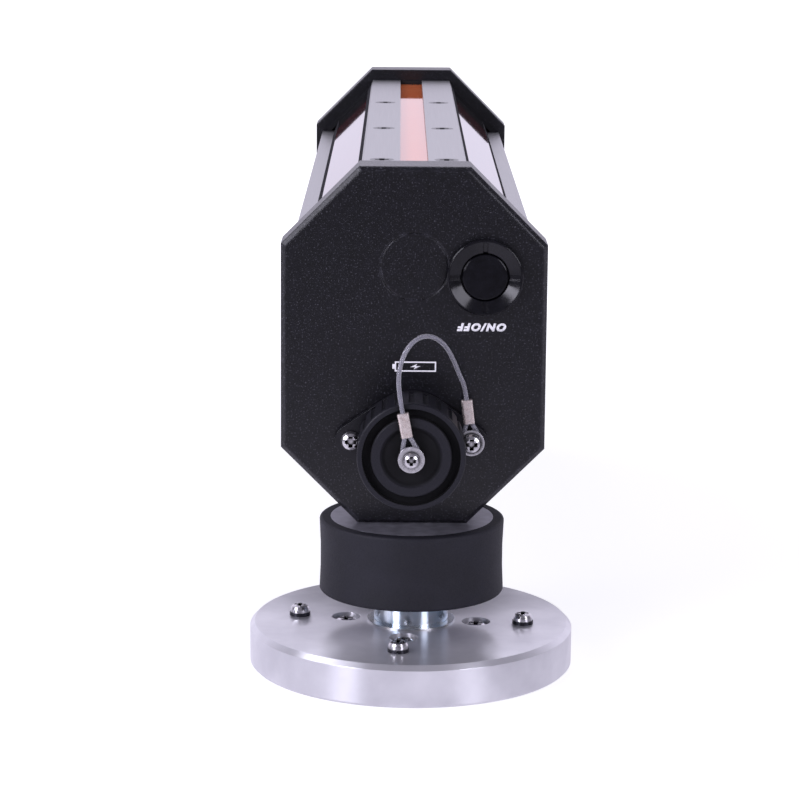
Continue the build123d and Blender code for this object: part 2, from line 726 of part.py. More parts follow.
def lamps():
    pitch = (BOARD_Y1 - BOARD_Y0) / LAMP_COUNT
    half = LAMP_W / 2
    ys = [BOARD_Y0 + (k + 0.5) * pitch for k in range(LAMP_COUNT)]
    return group(block(-half, half, y - half, y + half, LAMP_BOARD_TOP, LAMP_BOARD_TOP + LAMP_T) for y in ys)


def main_board_span():
    reach = BULKHEAD_T / 2 + MAIN_BOARD_OVERRUN
    return BULKHEAD_Y[-2] - reach, BULKHEAD_Y[-1] + reach


def main_board():
    y0, y1 = main_board_span()
    half = OPENING_W / 2 - SLOT
    return block(-half, half, y0, y1, -OPENING_DROP, -OPENING_DROP + BOARD_T)


def on_board(x, y, w, length, height):
    """Block that stands on the main board."""
    top = -OPENING_DROP + BOARD_T
    return block(x - w / 2, x + w / 2, y - length / 2, y + length / 2, top, top + height)


def terminal_face():
    return main_board_span()[0] + TERMINAL_SETBACK


def board_components():
    middle = sum(main_board_span()) / 2
    chips = [on_board(x, middle + y, w, length, h) for x, y, w, length, h in COMPONENTS]
    y = terminal_face() + TERMINAL_L / 2
    plugs = [on_board(s * TERMINAL_X, y, TERMINAL_W, TERMINAL_L, TERMINAL_H) for s in (1, -1)]
    return group(chips + plugs)


def battery_middle():
    return (BULKHEAD_Y[0] + BULKHEAD_Y[1]) / 2


def cell_rows():
    low = SKIN - BODY_HH + CRADLE_FLOOR + CELL_D / 2
    return low, low + CELL_D + SEAT


def battery_cells():
    y = battery_middle()
    x = CELL_D / 2 + SEAT
    cell = [rod_y(CELL_D, y - CELL_L / 2, y + CELL_L / 2, s * x, z) for s in (1, -1) for z in cell_rows()]
    return group(cell)


def battery_cradle():
    y0 = battery_middle() - CELL_L / 2
    floor = SKIN - BODY_HH
    inner = body_outline(SKIN)[3][0]
    half = CRADLE_W / 2
    top = floor + CRADLE_TOP
    right = [(inner, floor), (half, floor + half - inner), (half, top)]
    cradle = prism(right + left_of(right)[::-1], y0, y0 + CELL_L)
    for s in (1, -1):
        cradle -= rod_y(CELL_D + 2 * SEAT, y0, y0 + CELL_L, s * (CELL_D / 2 + SEAT), cell_rows()[0])
    return cradle


def battery_strap():
    y0 = battery_middle() - STRAP_W / 2
    y1 = y0 + STRAP_W
    floor = SKIN - BODY_HH + CRADLE_TOP
    half = CELL_D + 4 * SEAT
    top = cell_rows()[1] + CELL_D / 2 + SEAT
    strap = block(-half - STRAP_T, half + STRAP_T, y0, y1, floor, top + STRAP_T)
    return strap - block(-half, half, y0, y1, floor, top)


def bend_radii(points):
    """The largest even bend at each corner of a route."""
    radii = []
    for a, b, c in zip(points, points[1:], points[2:]):
        run_in = Vector(*b) - Vector(*a)
        run_out = Vector(*c) - Vector(*b)
        half_turn = math.radians(run_in.get_angle(run_out) / 2)
        radii.append(BEND_SHARE * min(run_in.length, run_out.length) / math.tan(half_turn))
    return radii


def tube(points, d, label):
    """Round tube along straight runs and arcs, with its bends and volume printed."""
    radii = bend_radii(points)
    path = FilletPolyline(*points, radius=radii)
    section = Plane(origin=path @ 0, z_dir=path % 0) * Circle(d / 2)
    solid = sweep(section, path=path)
    ratio = solid.volume / (math.pi * d * d / 4 * path.length)
    print(label, "length", round(path.length, 1), "volume ratio", round(ratio, 4))
    print("  bends", [round(r, 1) for r in radii])
    return solid


def inner_leads():
    stop = terminal_face()
    plug_z = -OPENING_DROP + BOARD_T + TERMINAL_H / 2

    def lead(x, y, z, route, end_x, label):
        points = [(x, y, z), (x, y + LEAD_END, z)]
        points += [(px, FRONT_Y + py, pz) for px, py, pz in route]
        points += [(end_x, stop - LEAD_END, plug_z), (end_x, stop, plug_z)]
        return tube([(px, py, CZ + pz) for px, py, pz in points], LEAD_D, label)

    socket_back = FRONT_Y - INSERT_FACE + INSERT_L
    switch_back = FRONT_Y + BARREL_TAIL + SWITCH_NECK_L
    return group([lead(SOCKET_X, socket_back, SOCKET_Z, CHARGE_ROUTE, -TERMINAL_X, "charge lead"),
                  lead(BUTTON_X, switch_back, BUTTON_Z, BUTTON_ROUTE, TERMINAL_X, "button lead")])


# Push button

def button_bezel():
    r = BEZEL_D / 2
    bezel = turned_y([(BORE_R, BEZEL_DISH), (r - BEZEL_RIM, BEZEL_FACE), (r - CLEAR, BEZEL_FACE),
                      (r, BEZEL_FACE - CLEAR), (r, BUTTON_SEAL_T), (BARREL_D / 2, BUTTON_SEAL_T),
                      (BARREL_D / 2, -BARREL_TAIL), (BARREL_BORE_R, -BARREL_TAIL), (BARREL_BORE_R, -STEP_IN),
                      (BORE_R, -STEP_IN)], BUTTON_X, BUTTON_Z)
    for k in range(NOTCH_COUNT):
        bezel -= facing_front(Rot(0, 0, 360 * k / NOTCH_COUNT) * bezel_notch(), BUTTON_X, 0, BUTTON_Z)
    return bezel


def bezel_notch():
    """Radial groove of even depth in the bezel's dish, open to the bore and closed at the rim."""
    rim = BEZEL_D / 2 - BEZEL_RIM
    slope = (BEZEL_FACE - BEZEL_DISH) / (rim - BORE_R)
    ends = (BORE_R - CLEAR, rim - CLEAR)
    floor = [(r, BEZEL_DISH - NOTCH_DEPTH + slope * (r - BORE_R)) for r in ends]
    top = [(r, BEZEL_FACE + CLEAR) for r in ends[::-1]]
    outline = Polyline(*[(r, -NOTCH_W / 2, out) for r, out in floor + top], close=True)
    return extrude(make_face(outline), amount=NOTCH_W, dir=(0, 1, 0))


def button_actuator():
    r = ACTUATOR_D / 2
    face = BEZEL_FACE - ACTUATOR_SINK
    front = -STEP_IN - CLEAR
    back = front - SHOULDER_T
    wide = BARREL_BORE_R - CLEAR - SEAT
    stem = SWITCH_FACE - BUTTON_TRAVEL - CLEAR
    return turned_y([(0, face), (r - CLEAR, face), (r, face - CLEAR), (r, front), (wide, front), (wide, back),
                     (STEM_R, back), (STEM_R, -stem), (0, -stem)], BUTTON_X, BUTTON_Z)


def button_seal():
    ring_d = BEZEL_D - 2 * CLEAR
    bore = BARREL_D + 2 * SEAT
    seal = rod_y(ring_d, FRONT_Y - BUTTON_SEAL_T, FRONT_Y, BUTTON_X, BUTTON_Z)
    return seal - rod_y(bore, FRONT_Y - BUTTON_SEAL_T, FRONT_Y, BUTTON_X, BUTTON_Z)


def nut_blank(room, length):
    """The nut's outline with room round it, from the end cap's wall inwards."""
    hexagon = Rot(0, 0, 30) * RegularPolygon(BUTTON_NUT_AF / 2 + room, 6, major_radius=False)
    return facing_front(extrude(hexagon, length), BUTTON_X, -CAP_WALL - length, BUTTON_Z)


def button_nut():
    inner = FRONT_Y + CAP_WALL
    return nut_blank(0, BUTTON_NUT_T) - rod_y(BARREL_D, inner, inner + BUTTON_NUT_T, BUTTON_X, BUTTON_Z)


def button_spring():
    back = STEP_IN + CLEAR + SHOULDER_T
    room = SWITCH_FACE - back - SPRING_WIRE - 2 * SEAT
    coil = Helix(room / SPRING_TURNS, room, SPRING_R)
    section = Plane(origin=coil @ 0, z_dir=coil % 0) * Circle(SPRING_WIRE / 2)
    spring = sweep(section, path=coil)
    return facing_front(spring, BUTTON_X, -SWITCH_FACE + SPRING_WIRE / 2 + SEAT, BUTTON_Z)


def button_switch():
    tail = FRONT_Y + BARREL_TAIL
    body = rod_y(2 * (BARREL_BORE_R - SEAT), FRONT_Y + SWITCH_FACE, tail, BUTTON_X, BUTTON_Z)
    return body + rod_y(SWITCH_NECK_D, tail, tail + SWITCH_NECK_L, BUTTON_X, BUTTON_Z)


# Charging socket

def flange_outline(margin=0.0):
    ears = SlotCenterToCenter(2 * EAR_X, 2 * (EAR_R - margin))
    return make_hull((ears + Circle(FLANGE_R - margin)).edges())


def socket_gasket():
    plate = extrude(flange_outline(CLEAR), SOCKET_GASKET_T)
    plate -= Cylinder(SOCKET_TAIL_D / 2 + SEAT, 3 * SOCKET_GASKET_T)
    for s in (1, -1):
        plate -= Pos(s * EAR_X, 0, 0) * Cylinder(SOCKET_SCREW_D / 2 + SEAT, 3 * SOCKET_GASKET_T)
    return facing_front(plate, SOCKET_X, 0, SOCKET_Z)


def socket_shell():
    flange = extrude(flange_outline(), FLANGE_T)
    for s in (1, -1):
        flange -= Pos(s * EAR_X, 0, 0) * Cylinder((SOCKET_SCREW_D + HOLE) / 2, 3 * FLANGE_T)
    flange = facing_front(flange, SOCKET_X, SOCKET_GASKET_T, SOCKET_Z)
    r = NOSE_D / 2
    thread = []
    for k in range(int((NOSE_END - THREAD_START) / THREAD_PITCH)):
        root = THREAD_START + (k + 0.5) * THREAD_PITCH
        thread += [(r, root - THREAD_DEPTH), (r - THREAD_DEPTH, root), (r, root + THREAD_DEPTH)]
    nose = turned_y([(0, SOCKET_GASKET_T), (r, SOCKET_GASKET_T), *thread, (r, NOSE_END), (0, NOSE_END)],
                    SOCKET_X, SOCKET_Z)
    tail = rod_y(SOCKET_TAIL_D, FRONT_Y - SOCKET_FACE, FRONT_Y + SOCKET_TAIL_L, SOCKET_X, SOCKET_Z)
    bore = rod_y(SOCKET_BORE_D, FRONT_Y - NOSE_END, FRONT_Y + SOCKET_TAIL_L, SOCKET_X, SOCKET_Z)
    return flange + nose + tail - bore


def socket_insert():
    y0 = FRONT_Y - INSERT_FACE
    insert = rod_y(SOCKET_BORE_D - 2 * SEAT, y0, y0 + INSERT_L, SOCKET_X, SOCKET_Z)
    for x, z in pin_places():
        insert -= rod_y(PIN_D, y0, y0 + INSERT_L, x, z)
    return insert


def pin_places():
    turns = [math.radians(90 + 360 * k / PIN_COUNT) for k in range(PIN_COUNT)]
    return [(SOCKET_X + PIN_RING_R * math.cos(a), SOCKET_Z + PIN_RING_R * math.sin(a)) for a in turns]


def socket_pins():
    y0 = FRONT_Y - INSERT_FACE - PIN_REACH
    y1 = FRONT_Y - INSERT_FACE + INSERT_L + PIN_TAIL
    return group(rod_y(PIN_D, y0, y1, x, z) for x, z in pin_places())


def socket_screws():
    """Two screws, the right one longer by the tether's eye and its washer."""
    lift = PANEL_WASHER_Y + WASHER_T + SEAT - SOCKET_FACE
    left = pan_screw(SOCKET_SCREW_D, PAN_HEAD_D, PAN_HEAD_H, SOCKET_SCREW_L)
    right = pan_screw(SOCKET_SCREW_D, PAN_HEAD_D, PAN_HEAD_H, SOCKET_SCREW_L + lift)
    ring_washer = washer(WASHER_D, SOCKET_SCREW_D + 2 * SEAT, 0, WASHER_T)
    return group([facing_front(left, SOCKET_X - EAR_X, SOCKET_FACE, SOCKET_Z),
                  facing_front(right, SOCKET_X + EAR_X, SOCKET_FACE + lift, SOCKET_Z),
                  facing_front(ring_washer, SOCKET_X + EAR_X, PANEL_WASHER_Y, SOCKET_Z)])


# Dust cap

def dust_cap():
    r = DUST_CAP_D / 2
    front = DUST_CAP_FRONT
    bore = NOSE_D / 2 + RUN
    groove_out = GROOVE_OUT_D / 2
    groove_in = GROOVE_IN_D / 2
    dish = front - RECESS_DEPTH
    boss = WASHER_D / 2
    skirt = [(0, CAP_INNER), (bore, CAP_INNER), (bore, DUST_CAP_SKIRT), (r, DUST_CAP_SKIRT)]
    rim = [(r, front - CLEAR), (r - CLEAR, front), (groove_out, front)]
    floor = front - GROOVE_DEPTH
    groove = [(groove_out, floor), (groove_in, floor), (groove_in, front - CLEAR), (groove_in - CLEAR, front)]
    middle = [(RECESS_D / 2 + RECESS_DEPTH, front), (RECESS_D / 2, dish), (boss, dish)]
    neck = [(boss, EYE_BOSS_Y), (NECK_R, EYE_BOSS_Y), (NECK_R, CAP_WASHER_Y), (0, CAP_WASHER_Y)]
    cap = turned_y(skirt + rim + groove + middle + neck, SOCKET_X, SOCKET_Z)
    flute = rod_y(2 * FLUTE_R, FRONT_Y - DUST_CAP_FRONT + FLUTE_END, FRONT_Y - DUST_CAP_SKIRT,
                  SOCKET_X, SOCKET_Z + r + FLUTE_R - FLUTE_DEPTH)
    axis = Axis((SOCKET_X, 0, CZ + SOCKET_Z), (0, 1, 0))
    cap -= [flute.rotate(axis, 360 * k / FLUTE_COUNT) for k in range(FLUTE_COUNT)]
    hole = CAP_WASHER_Y + WASHER_T + SEAT - CAP_SCREW_L
    return cap - rod_y(CAP_SCREW_D, FRONT_Y - CAP_WASHER_Y, FRONT_Y - hole, SOCKET_X, SOCKET_Z)


def dust_cap_seal():
    y1 = FRONT_Y - NOSE_END - SEAT
    seal = rod_y(NOSE_D - 2 * EDGE, y1 - CAP_SEAL_T, y1, SOCKET_X, SOCKET_Z)
    return seal - rod_y(CAP_SEAL_D, y1 - CAP_SEAL_T, y1, SOCKET_X, SOCKET_Z)


def cap_screw():
    """Screw and washer that keep the tether's eye on the dust cap."""
    screw = pan_screw(CAP_SCREW_D, CAP_HEAD_D, CAP_HEAD_H, CAP_SCREW_L)
    ring_washer = washer(WASHER_D, CAP_SCREW_D + 2 * SEAT, 0, WASHER_T)
    return group([facing_front(screw, SOCKET_X, CAP_WASHER_Y + WASHER_T + SEAT, SOCKET_Z),
                  facing_front(ring_washer, SOCKET_X, CAP_WASHER_Y, SOCKET_Z)])


# Tether

def leaning(shape, x, out, tilt):
    """A piece drawn round a screw in X and Z, leant to the left about that screw."""
    return Pos(SOCKET_X + x, FRONT_Y - out, CZ + SOCKET_Z) * Rot(0, -tilt, 0) * shape


def wire_eye(length):
    """Loop of wire round a screw, cut off flat at the ferrule."""
    reach = math.hypot(STRAND_X, length)
    touch = math.atan2(length, STRAND_X) - math.acos(EYE_R / reach)
    tx = EYE_R * math.cos(touch)
    tz = EYE_R * math.sin(touch)
    top = length + WIRE_D
    inner_x = STRAND_X + (STRAND_X - tx) * WIRE_D / (length - tz)
    right = Line((inner_x, 0, top), (tx, 0, tz))
    left = Line((-tx, 0, tz), (-inner_x, 0, top))
    path = Wire([right, ThreePointArc((tx, 0, tz), (0, 0, -EYE_R), (-tx, 0, tz)), left])
    section = Plane(origin=path @ 0, z_dir=path % 0) * Circle(WIRE_D / 2)
    return sweep(section, path=path) - Pos(0, 0, length + WIRE_D) * Box(FERRULE_W, FERRULE_T, 2 * WIRE_D)


def ferrule(length):
    sleeve = Box(FERRULE_W, FERRULE_T, FERRULE_L)
    sleeve = fillet(sleeve.edges().filter_by(Axis.Z), FERRULE_EDGE)
    return Pos(0, 0, length + FERRULE_L / 2) * sleeve


def eye_point(x, out, tilt, length):
    a = math.radians(tilt)
    return (SOCKET_X + x - length * math.sin(a), FRONT_Y - out, CZ + SOCKET_Z + length * math.cos(a))


def tether_wire():
    cap_end = CAP_EYE_L + FERRULE_L
    panel_end = PANEL_EYE_L + FERRULE_L
    points = [eye_point(0, CAP_EYE_Y, CAP_EYE_TILT, cap_end),
              eye_point(0, CAP_EYE_Y, CAP_EYE_TILT, cap_end + CAP_LEAD)]
    points += [(SOCKET_X + x, FRONT_Y + y, CZ + SOCKET_Z + z) for x, y, z in TETHER_ROUTE]
    points += [eye_point(EAR_X, PANEL_EYE_Y, PANEL_EYE_TILT, panel_end + PANEL_LEAD),
               eye_point(EAR_X, PANEL_EYE_Y, PANEL_EYE_TILT, panel_end)]
    return tube(points, WIRE_D, "tether")


# All nodes

def foot_nodes(name, y):
    pieces = {
        "disc": foot_disc, "bush": foot_bush, "retaining_plate": foot_retainer,
        "retainer_screws": foot_retainer_screws, "pot_magnets": foot_magnets,
        "magnet_screws": foot_magnet_screws, "spring_washers": foot_spring_washers,
    }
    return {f"{name}_{piece}": Pos(0, y, 0) * make() for piece, make in pieces.items()}


def one_per_foot(shapes):
    return group(Pos(0, y, 0) * shape for y in FOOT_STATIONS.values() for shape in shapes)


def all_nodes():
    nodes = {}
    for name, y in FOOT_STATIONS.items():
        nodes.update(foot_nodes(name, y))
    nodes["foot_posts"] = one_per_foot([foot_post()])
    nodes["rubber_buffers"] = one_per_foot([rubber_buffer()])
    nodes["buffer_plates"] = one_per_foot([buffer_top_plate(), buffer_low_plate()])
    plain = [front_cap, rear_cap, end_gaskets, blanking_plug, top_bars, bar_screws, corner_rails,
             strip_window, slant_windows, side_windows, back_channel, tie_rods, rod_screws, bulkheads,
             sensor_boards, photodiodes, lamp_board, lamps, main_board, board_components, battery_cells,
             battery_cradle, battery_strap, inner_leads, button_bezel, button_actuator, button_seal,
             button_nut, button_spring, button_switch, socket_gasket, socket_shell, socket_insert,
             socket_pins, socket_screws, dust_cap, dust_cap_seal, cap_screw, tether_wire]
    nodes.update({make.__name__: make() for make in plain})
    nodes["cap_eye"] = leaning(wire_eye(CAP_EYE_L), 0, CAP_EYE_Y, CAP_EYE_TILT)
    nodes["cap_ferrule"] = leaning(ferrule(CAP_EYE_L), 0, CAP_EYE_Y, CAP_EYE_TILT)
    nodes["panel_eye"] = leaning(wire_eye(PANEL_EYE_L), EAR_X, PANEL_EYE_Y, PANEL_EYE_TILT)
    nodes["panel_ferrule"] = leaning(ferrule(PANEL_EYE_L), EAR_X, PANEL_EYE_Y, PANEL_EYE_TILT)
    return nodes


os.makedirs("parts", exist_ok=True)
for node, shape in all_nodes().items():
    export_step(shape, f"parts/{node}.step")
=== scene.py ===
import math

import bmesh
import bpy
from mathutils import Matrix, Vector


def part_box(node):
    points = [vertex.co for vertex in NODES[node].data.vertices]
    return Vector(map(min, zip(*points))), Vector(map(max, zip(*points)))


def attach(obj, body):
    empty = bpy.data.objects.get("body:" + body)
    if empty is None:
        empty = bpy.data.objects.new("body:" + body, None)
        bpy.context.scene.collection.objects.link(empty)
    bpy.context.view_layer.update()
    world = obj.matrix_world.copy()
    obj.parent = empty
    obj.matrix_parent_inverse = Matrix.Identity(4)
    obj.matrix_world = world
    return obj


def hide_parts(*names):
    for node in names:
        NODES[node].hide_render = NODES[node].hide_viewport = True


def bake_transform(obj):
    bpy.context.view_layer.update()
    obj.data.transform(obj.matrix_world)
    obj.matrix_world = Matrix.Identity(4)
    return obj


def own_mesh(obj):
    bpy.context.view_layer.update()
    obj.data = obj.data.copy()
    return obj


# Laser receiver on its two magnet feet: finishes, tether, lettering, seals, light and camera
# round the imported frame. Metres, Z up. Y runs from the front cap to the rear cap, and the origin
# is on the floor midway between the feet.

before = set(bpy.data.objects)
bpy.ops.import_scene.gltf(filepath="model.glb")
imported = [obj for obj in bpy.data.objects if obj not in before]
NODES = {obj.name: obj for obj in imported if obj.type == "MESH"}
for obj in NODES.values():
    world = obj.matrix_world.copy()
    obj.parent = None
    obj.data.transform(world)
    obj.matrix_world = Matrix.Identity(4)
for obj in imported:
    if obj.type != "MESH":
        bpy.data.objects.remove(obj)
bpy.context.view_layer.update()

MM = 0.001

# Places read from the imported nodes
FACE_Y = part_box("blanking_plug")[0].y
CAP_MIDDLE_Z = (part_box("front_cap")[0].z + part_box("front_cap")[1].z) / 2
CAP_AXIS = (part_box("dust_cap")[0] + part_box("dust_cap")[1]) / 2
FOOT_Y = {name: sum(corner.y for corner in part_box(f"{name}_disc")) / 2 for name in ("front", "rear")}


# Objects and meshes

def in_scene(name, data):
    """A new object in the scene."""
    made = bpy.data.objects.new(name, data)
    bpy.context.scene.collection.objects.link(made)
    return made


def show(name, mesh, material, body):
    """A finished piece at the origin that rides on a body."""
    piece = in_scene(name, mesh)
    piece.data.materials.append(material)
    if body:
        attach(piece, body)
    return piece


def mesh_of(data):
    """The mesh of a curve or text, which is then removed."""
    drawn = in_scene(data.name, data)
    bpy.context.view_layer.update()
    mesh = bpy.data.meshes.new_from_object(drawn)
    bpy.data.objects.remove(drawn)
    return mesh


def finished(shape, mesh):
    """A mesh with a bmesh's shape, which is then freed."""
    shape.to_mesh(mesh)
    shape.free()
    return mesh


def extrude(shape, faces, along, **settings):
    """Extrudes faces along a vector."""
    grown = bmesh.ops.extrude_face_region(shape, geom=faces, **settings)
    moved = [item for item in grown["geom"] if isinstance(item, bmesh.types.BMVert)]
    bmesh.ops.translate(shape, verts=moved, vec=along)


# Camera

CAMERA_PLACE = (-4.6 * MM, -943.5 * MM, 239.9 * MM)
CAMERA_DIP = 11.67         # degrees below the horizon
CAMERA_TURN = -0.06        # degrees about Z
CAMERA_ROLL = 0.48         # degrees about the view line
CAMERA_LENS = 121.4        # mm, on a sensor that is CAMERA_SENSOR wide
CAMERA_SENSOR = 36.0


def make_camera():
    data = bpy.data.cameras.new("camera")
    data.lens = CAMERA_LENS
    data.sensor_width = CAMERA_SENSOR
    camera = in_scene("camera", data)
    turn = Matrix.Rotation(math.radians(CAMERA_TURN), 4, "Z")
    dip = Matrix.Rotation(math.radians(90 - CAMERA_DIP), 4, "X")
    roll = Matrix.Rotation(math.radians(CAMERA_ROLL), 4, "Z")
    camera.matrix_world = Matrix.Translation(CAMERA_PLACE) @ turn @ dip @ roll
    bpy.context.scene.camera = camera


# Node and material helpers

# Sockets of a Mix node, which share their names: factor, two colours and their mix, two numbers and their mix
MIX_FACTOR = 0
MIX_A = 6
MIX_B = 7
MIX_COLOUR = 2
MIX_LOW = 2
MIX_HIGH = 3
MIX_NUMBER = 0
WAVE_RATE = 20             # radians of a wave pattern at scale 1, in a metre
NOISE_LOW = 0.3            # most of a noise pattern lies between these
NOISE_HIGH = 0.7
EDGE_SAMPLES = 4           # rays that find an edge, and those that find a recess
SHADE_SAMPLES = 8
RECESS_SHADE = "#08080A"           # painted shade in recesses
FULL_SHADE = 0.5               # openness at which a recess is all painted shade, and at which it has none
NO_SHADE = 0.92
SHADE_ROUGHNESS = 0.9


def rgb(hex_code):
    """sRGB hex as a linear colour."""
    parts = [int(hex_code[k:k + 2], 16) / 255 for k in (1, 3, 5)]
    linear = [c / 12.92 if c <= 0.04045 else ((c + 0.055) / 1.055) ** 2.4 for c in parts]
    return (*linear, 1.0)


def per_metre(size_mm):
    """Scale of a noise pattern whose features are that large."""
    return 1 / (size_mm * MM)


def wave_scale(pitch_mm):
    """Scale of a wave pattern with that distance from crest to crest."""
    return 2 * math.pi / (WAVE_RATE * pitch_mm * MM)


def add(tree, kind, output, sockets=None, **settings):
    """Adds a node with its settings, sets or links its sockets, and gives back one of its outputs."""
    made = tree.nodes.new("ShaderNode" + kind)
    for name, value in settings.items():
        setattr(made, name, value)
    for name, value in (sockets or {}).items():
        if isinstance(value, bpy.types.NodeSocket):
            tree.links.new(value, made.inputs[name])
        else:
            made.inputs[name].default_value = value
    return made.outputs[output]


def new_material(name, **sockets):
    """A material with its tree, its Principled shader and Object coordinates."""
    material = bpy.data.materials.new(name)
    material.use_nodes = True
    tree = material.node_tree
    shader = tree.nodes["Principled BSDF"]
    for socket, value in sockets.items():
        shader.inputs[socket.replace("_", " ")].default_value = value
    return material, tree, shader, add(tree, "TexCoord", "Object")


def link(tree, shader, **outputs):
    for socket, output in outputs.items():
        tree.links.new(output, shader.inputs[socket.replace("_", " ")])


def mottled(name, size_mm, colours, roughness, relief_mm=0.0, edge_mm=0.0, shade_mm=0.0, **sockets):
    """A finish whose colour, gloss and relief follow one pattern of that size.

    Its sharp edges are broken by edge_mm, and painted shade darkens and dulls corners that lie within the
    given shade distance of each other.
    """
    material, tree, shader, place = new_material(name, **sockets)
    pattern = add(tree, "TexNoise", "Fac", {"Vector": place, "Scale": per_metre(size_mm), "Detail": 4.0})
    share = add(tree, "MapRange", "Result", {"Value": pattern, "From Min": NOISE_LOW, "From Max": NOISE_HIGH})
    colour = add(tree, "Mix", MIX_COLOUR, {MIX_FACTOR: share, MIX_A: rgb(colours[0]), MIX_B: rgb(colours[1])},
                 data_type="RGBA")
    gloss = add(tree, "MapRange", "Result", {"Value": share, "To Min": roughness[0], "To Max": roughness[1]})
    # Painted shade: near black and dull where ambient occlusion finds corners close by.
    if shade_mm:
        open_air = add(tree, "AmbientOcclusion", "AO", {"Distance": shade_mm * MM}, samples=SHADE_SAMPLES)
        unshaded = add(tree, "MapRange", "Result", {"Value": open_air, "From Min": FULL_SHADE, "From Max": NO_SHADE})
        colour = add(tree, "Mix", MIX_COLOUR, {MIX_FACTOR: unshaded, MIX_A: rgb(RECESS_SHADE), MIX_B: colour},
                     data_type="RGBA")
        gloss = add(tree, "MapRange", "Result", {"Value": unshaded, "To Min": SHADE_ROUGHNESS, "To Max": gloss})
    rounded = add(tree, "Bevel", "Normal", {"Radius": edge_mm * MM}, samples=EDGE_SAMPLES)
    normal = add(tree, "Bump", "Normal", {"Height": pattern, "Distance": relief_mm * MM, "Normal": rounded})
    link(tree, shader, Base_Color=colour, Roughness=gloss, Normal=normal)
    return material


# Finishes

BOARD_REACH = 121.0        # how far from the middle, in mm, the boards behind the red panes show
BOARD_BLUR = 5.0
DISH_R = 8.9               # dish in the dust cap's face, in mm
DISH_EDGE = 0.8
DISH_UNSHADED = 0.15          # share of the face's own colour and shine that the dish keeps; the rest is painted shade


def fine_powder_coat():
    # Epoxy powder coat, fine textured: matt black with single paler grains, partly their own colour and
    # partly painted glint, and edges lightened, partly rubbed paint and partly painted highlight.
    material, tree, shader, place = new_material("fine_powder_coat", IOR=1.52)
    rounded = add(tree, "Bevel", "Normal", {"Radius": 0.9 * MM}, samples=EDGE_SAMPLES)
    # Real grains are about 0.2 mm, drawn at 0.5 mm so that they show.
    grain = add(tree, "TexNoise", "Fac", {"Vector": place, "Scale": per_metre(0.5), "Detail": 3.0})
    cloud = add(tree, "TexNoise", "Fac", {"Vector": place, "Scale": per_metre(2.4), "Detail": 2.0})
    specks = add(tree, "MapRange", "Result", {"Value": grain, "From Min": 0.58, "From Max": 0.76})
    patches = add(tree, "MapRange", "Result", {"Value": cloud, "From Min": 0.35, "From Max": 0.7})
    ground = add(tree, "Mix", MIX_COLOUR, {MIX_FACTOR: patches, MIX_A: rgb("#08080D"), MIX_B: rgb("#0F0F16")},
                 data_type="RGBA")
    speckled = add(tree, "Mix", MIX_COLOUR, {MIX_FACTOR: specks, MIX_A: ground, MIX_B: rgb("#54545B")},
                   data_type="RGBA")
    flat = add(tree, "NewGeometry", "True Normal")
    along = add(tree, "VectorMath", "Value", {0: rounded, 1: flat}, operation="DOT_PRODUCT")
    # Painted highlight along the edges, partly rubbed paint: the edges lighten towards a pale grey.
    edge = add(tree, "MapRange", "Result", {"Value": along, "From Min": 0.97, "From Max": 0.85,
                                            "To Max": 0.25})
    rubbed_and_highlit = add(tree, "Math", "Value", {0: edge, 1: patches}, operation="MULTIPLY")
    colour = add(tree, "Mix", MIX_COLOUR, {MIX_FACTOR: rubbed_and_highlit, MIX_A: speckled, MIX_B: rgb("#7C7A88")},
                 data_type="RGBA")
    gloss = add(tree, "MapRange", "Result", {"Value": grain, "From Min": 0.3, "From Max": 0.75,
                                             "To Min": 0.38, "To Max": 0.26})
    normal = add(tree, "Bump", "Normal", {"Height": grain, "Distance": 0.1 * MM, "Strength": 0.5,
                                          "Normal": rounded})
    link(tree, shader, Base_Color=colour, Roughness=gloss, Normal=normal)
    return material


def black_anodised():
    # Extruded aluminium, black anodised and sealed: satin black with faint draw lines,
    # near white at a low angle.
    material, tree, shader, place = new_material("black_anodised", IOR=2.2, Coat_Weight=1.0,
                                                 Coat_Roughness=0.3)
    rounded = add(tree, "Bevel", "Normal", {"Radius": 0.2 * MM}, samples=EDGE_SAMPLES)
    # Draw lines run the length of the bar, 0.4 mm apart.
    stretched = add(tree, "Mapping", "Vector", {"Vector": place, "Scale": (1.0, 0.01, 1.0)})
    lines = add(tree, "TexNoise", "Fac", {"Vector": stretched, "Scale": per_metre(0.4), "Detail": 2.0})
    cloud = add(tree, "TexNoise", "Fac", {"Vector": place, "Scale": per_metre(9.0), "Detail": 3.0})
    colour = add(tree, "Mix", MIX_COLOUR, {MIX_FACTOR: cloud, MIX_A: rgb("#101016"), MIX_B: rgb("#1D1D26")},
                 data_type="RGBA")
    gloss = add(tree, "MapRange", "Result", {"Value": lines, "From Min": NOISE_LOW, "From Max": NOISE_HIGH,
                                             "To Min": 0.36, "To Max": 0.42})
    normal = add(tree, "Bump", "Normal", {"Height": lines, "Distance": 0.004 * MM, "Strength": 0.15,
                                          "Normal": rounded})
    link(tree, shader, Base_Color=colour, Roughness=gloss, Normal=normal)
    return material


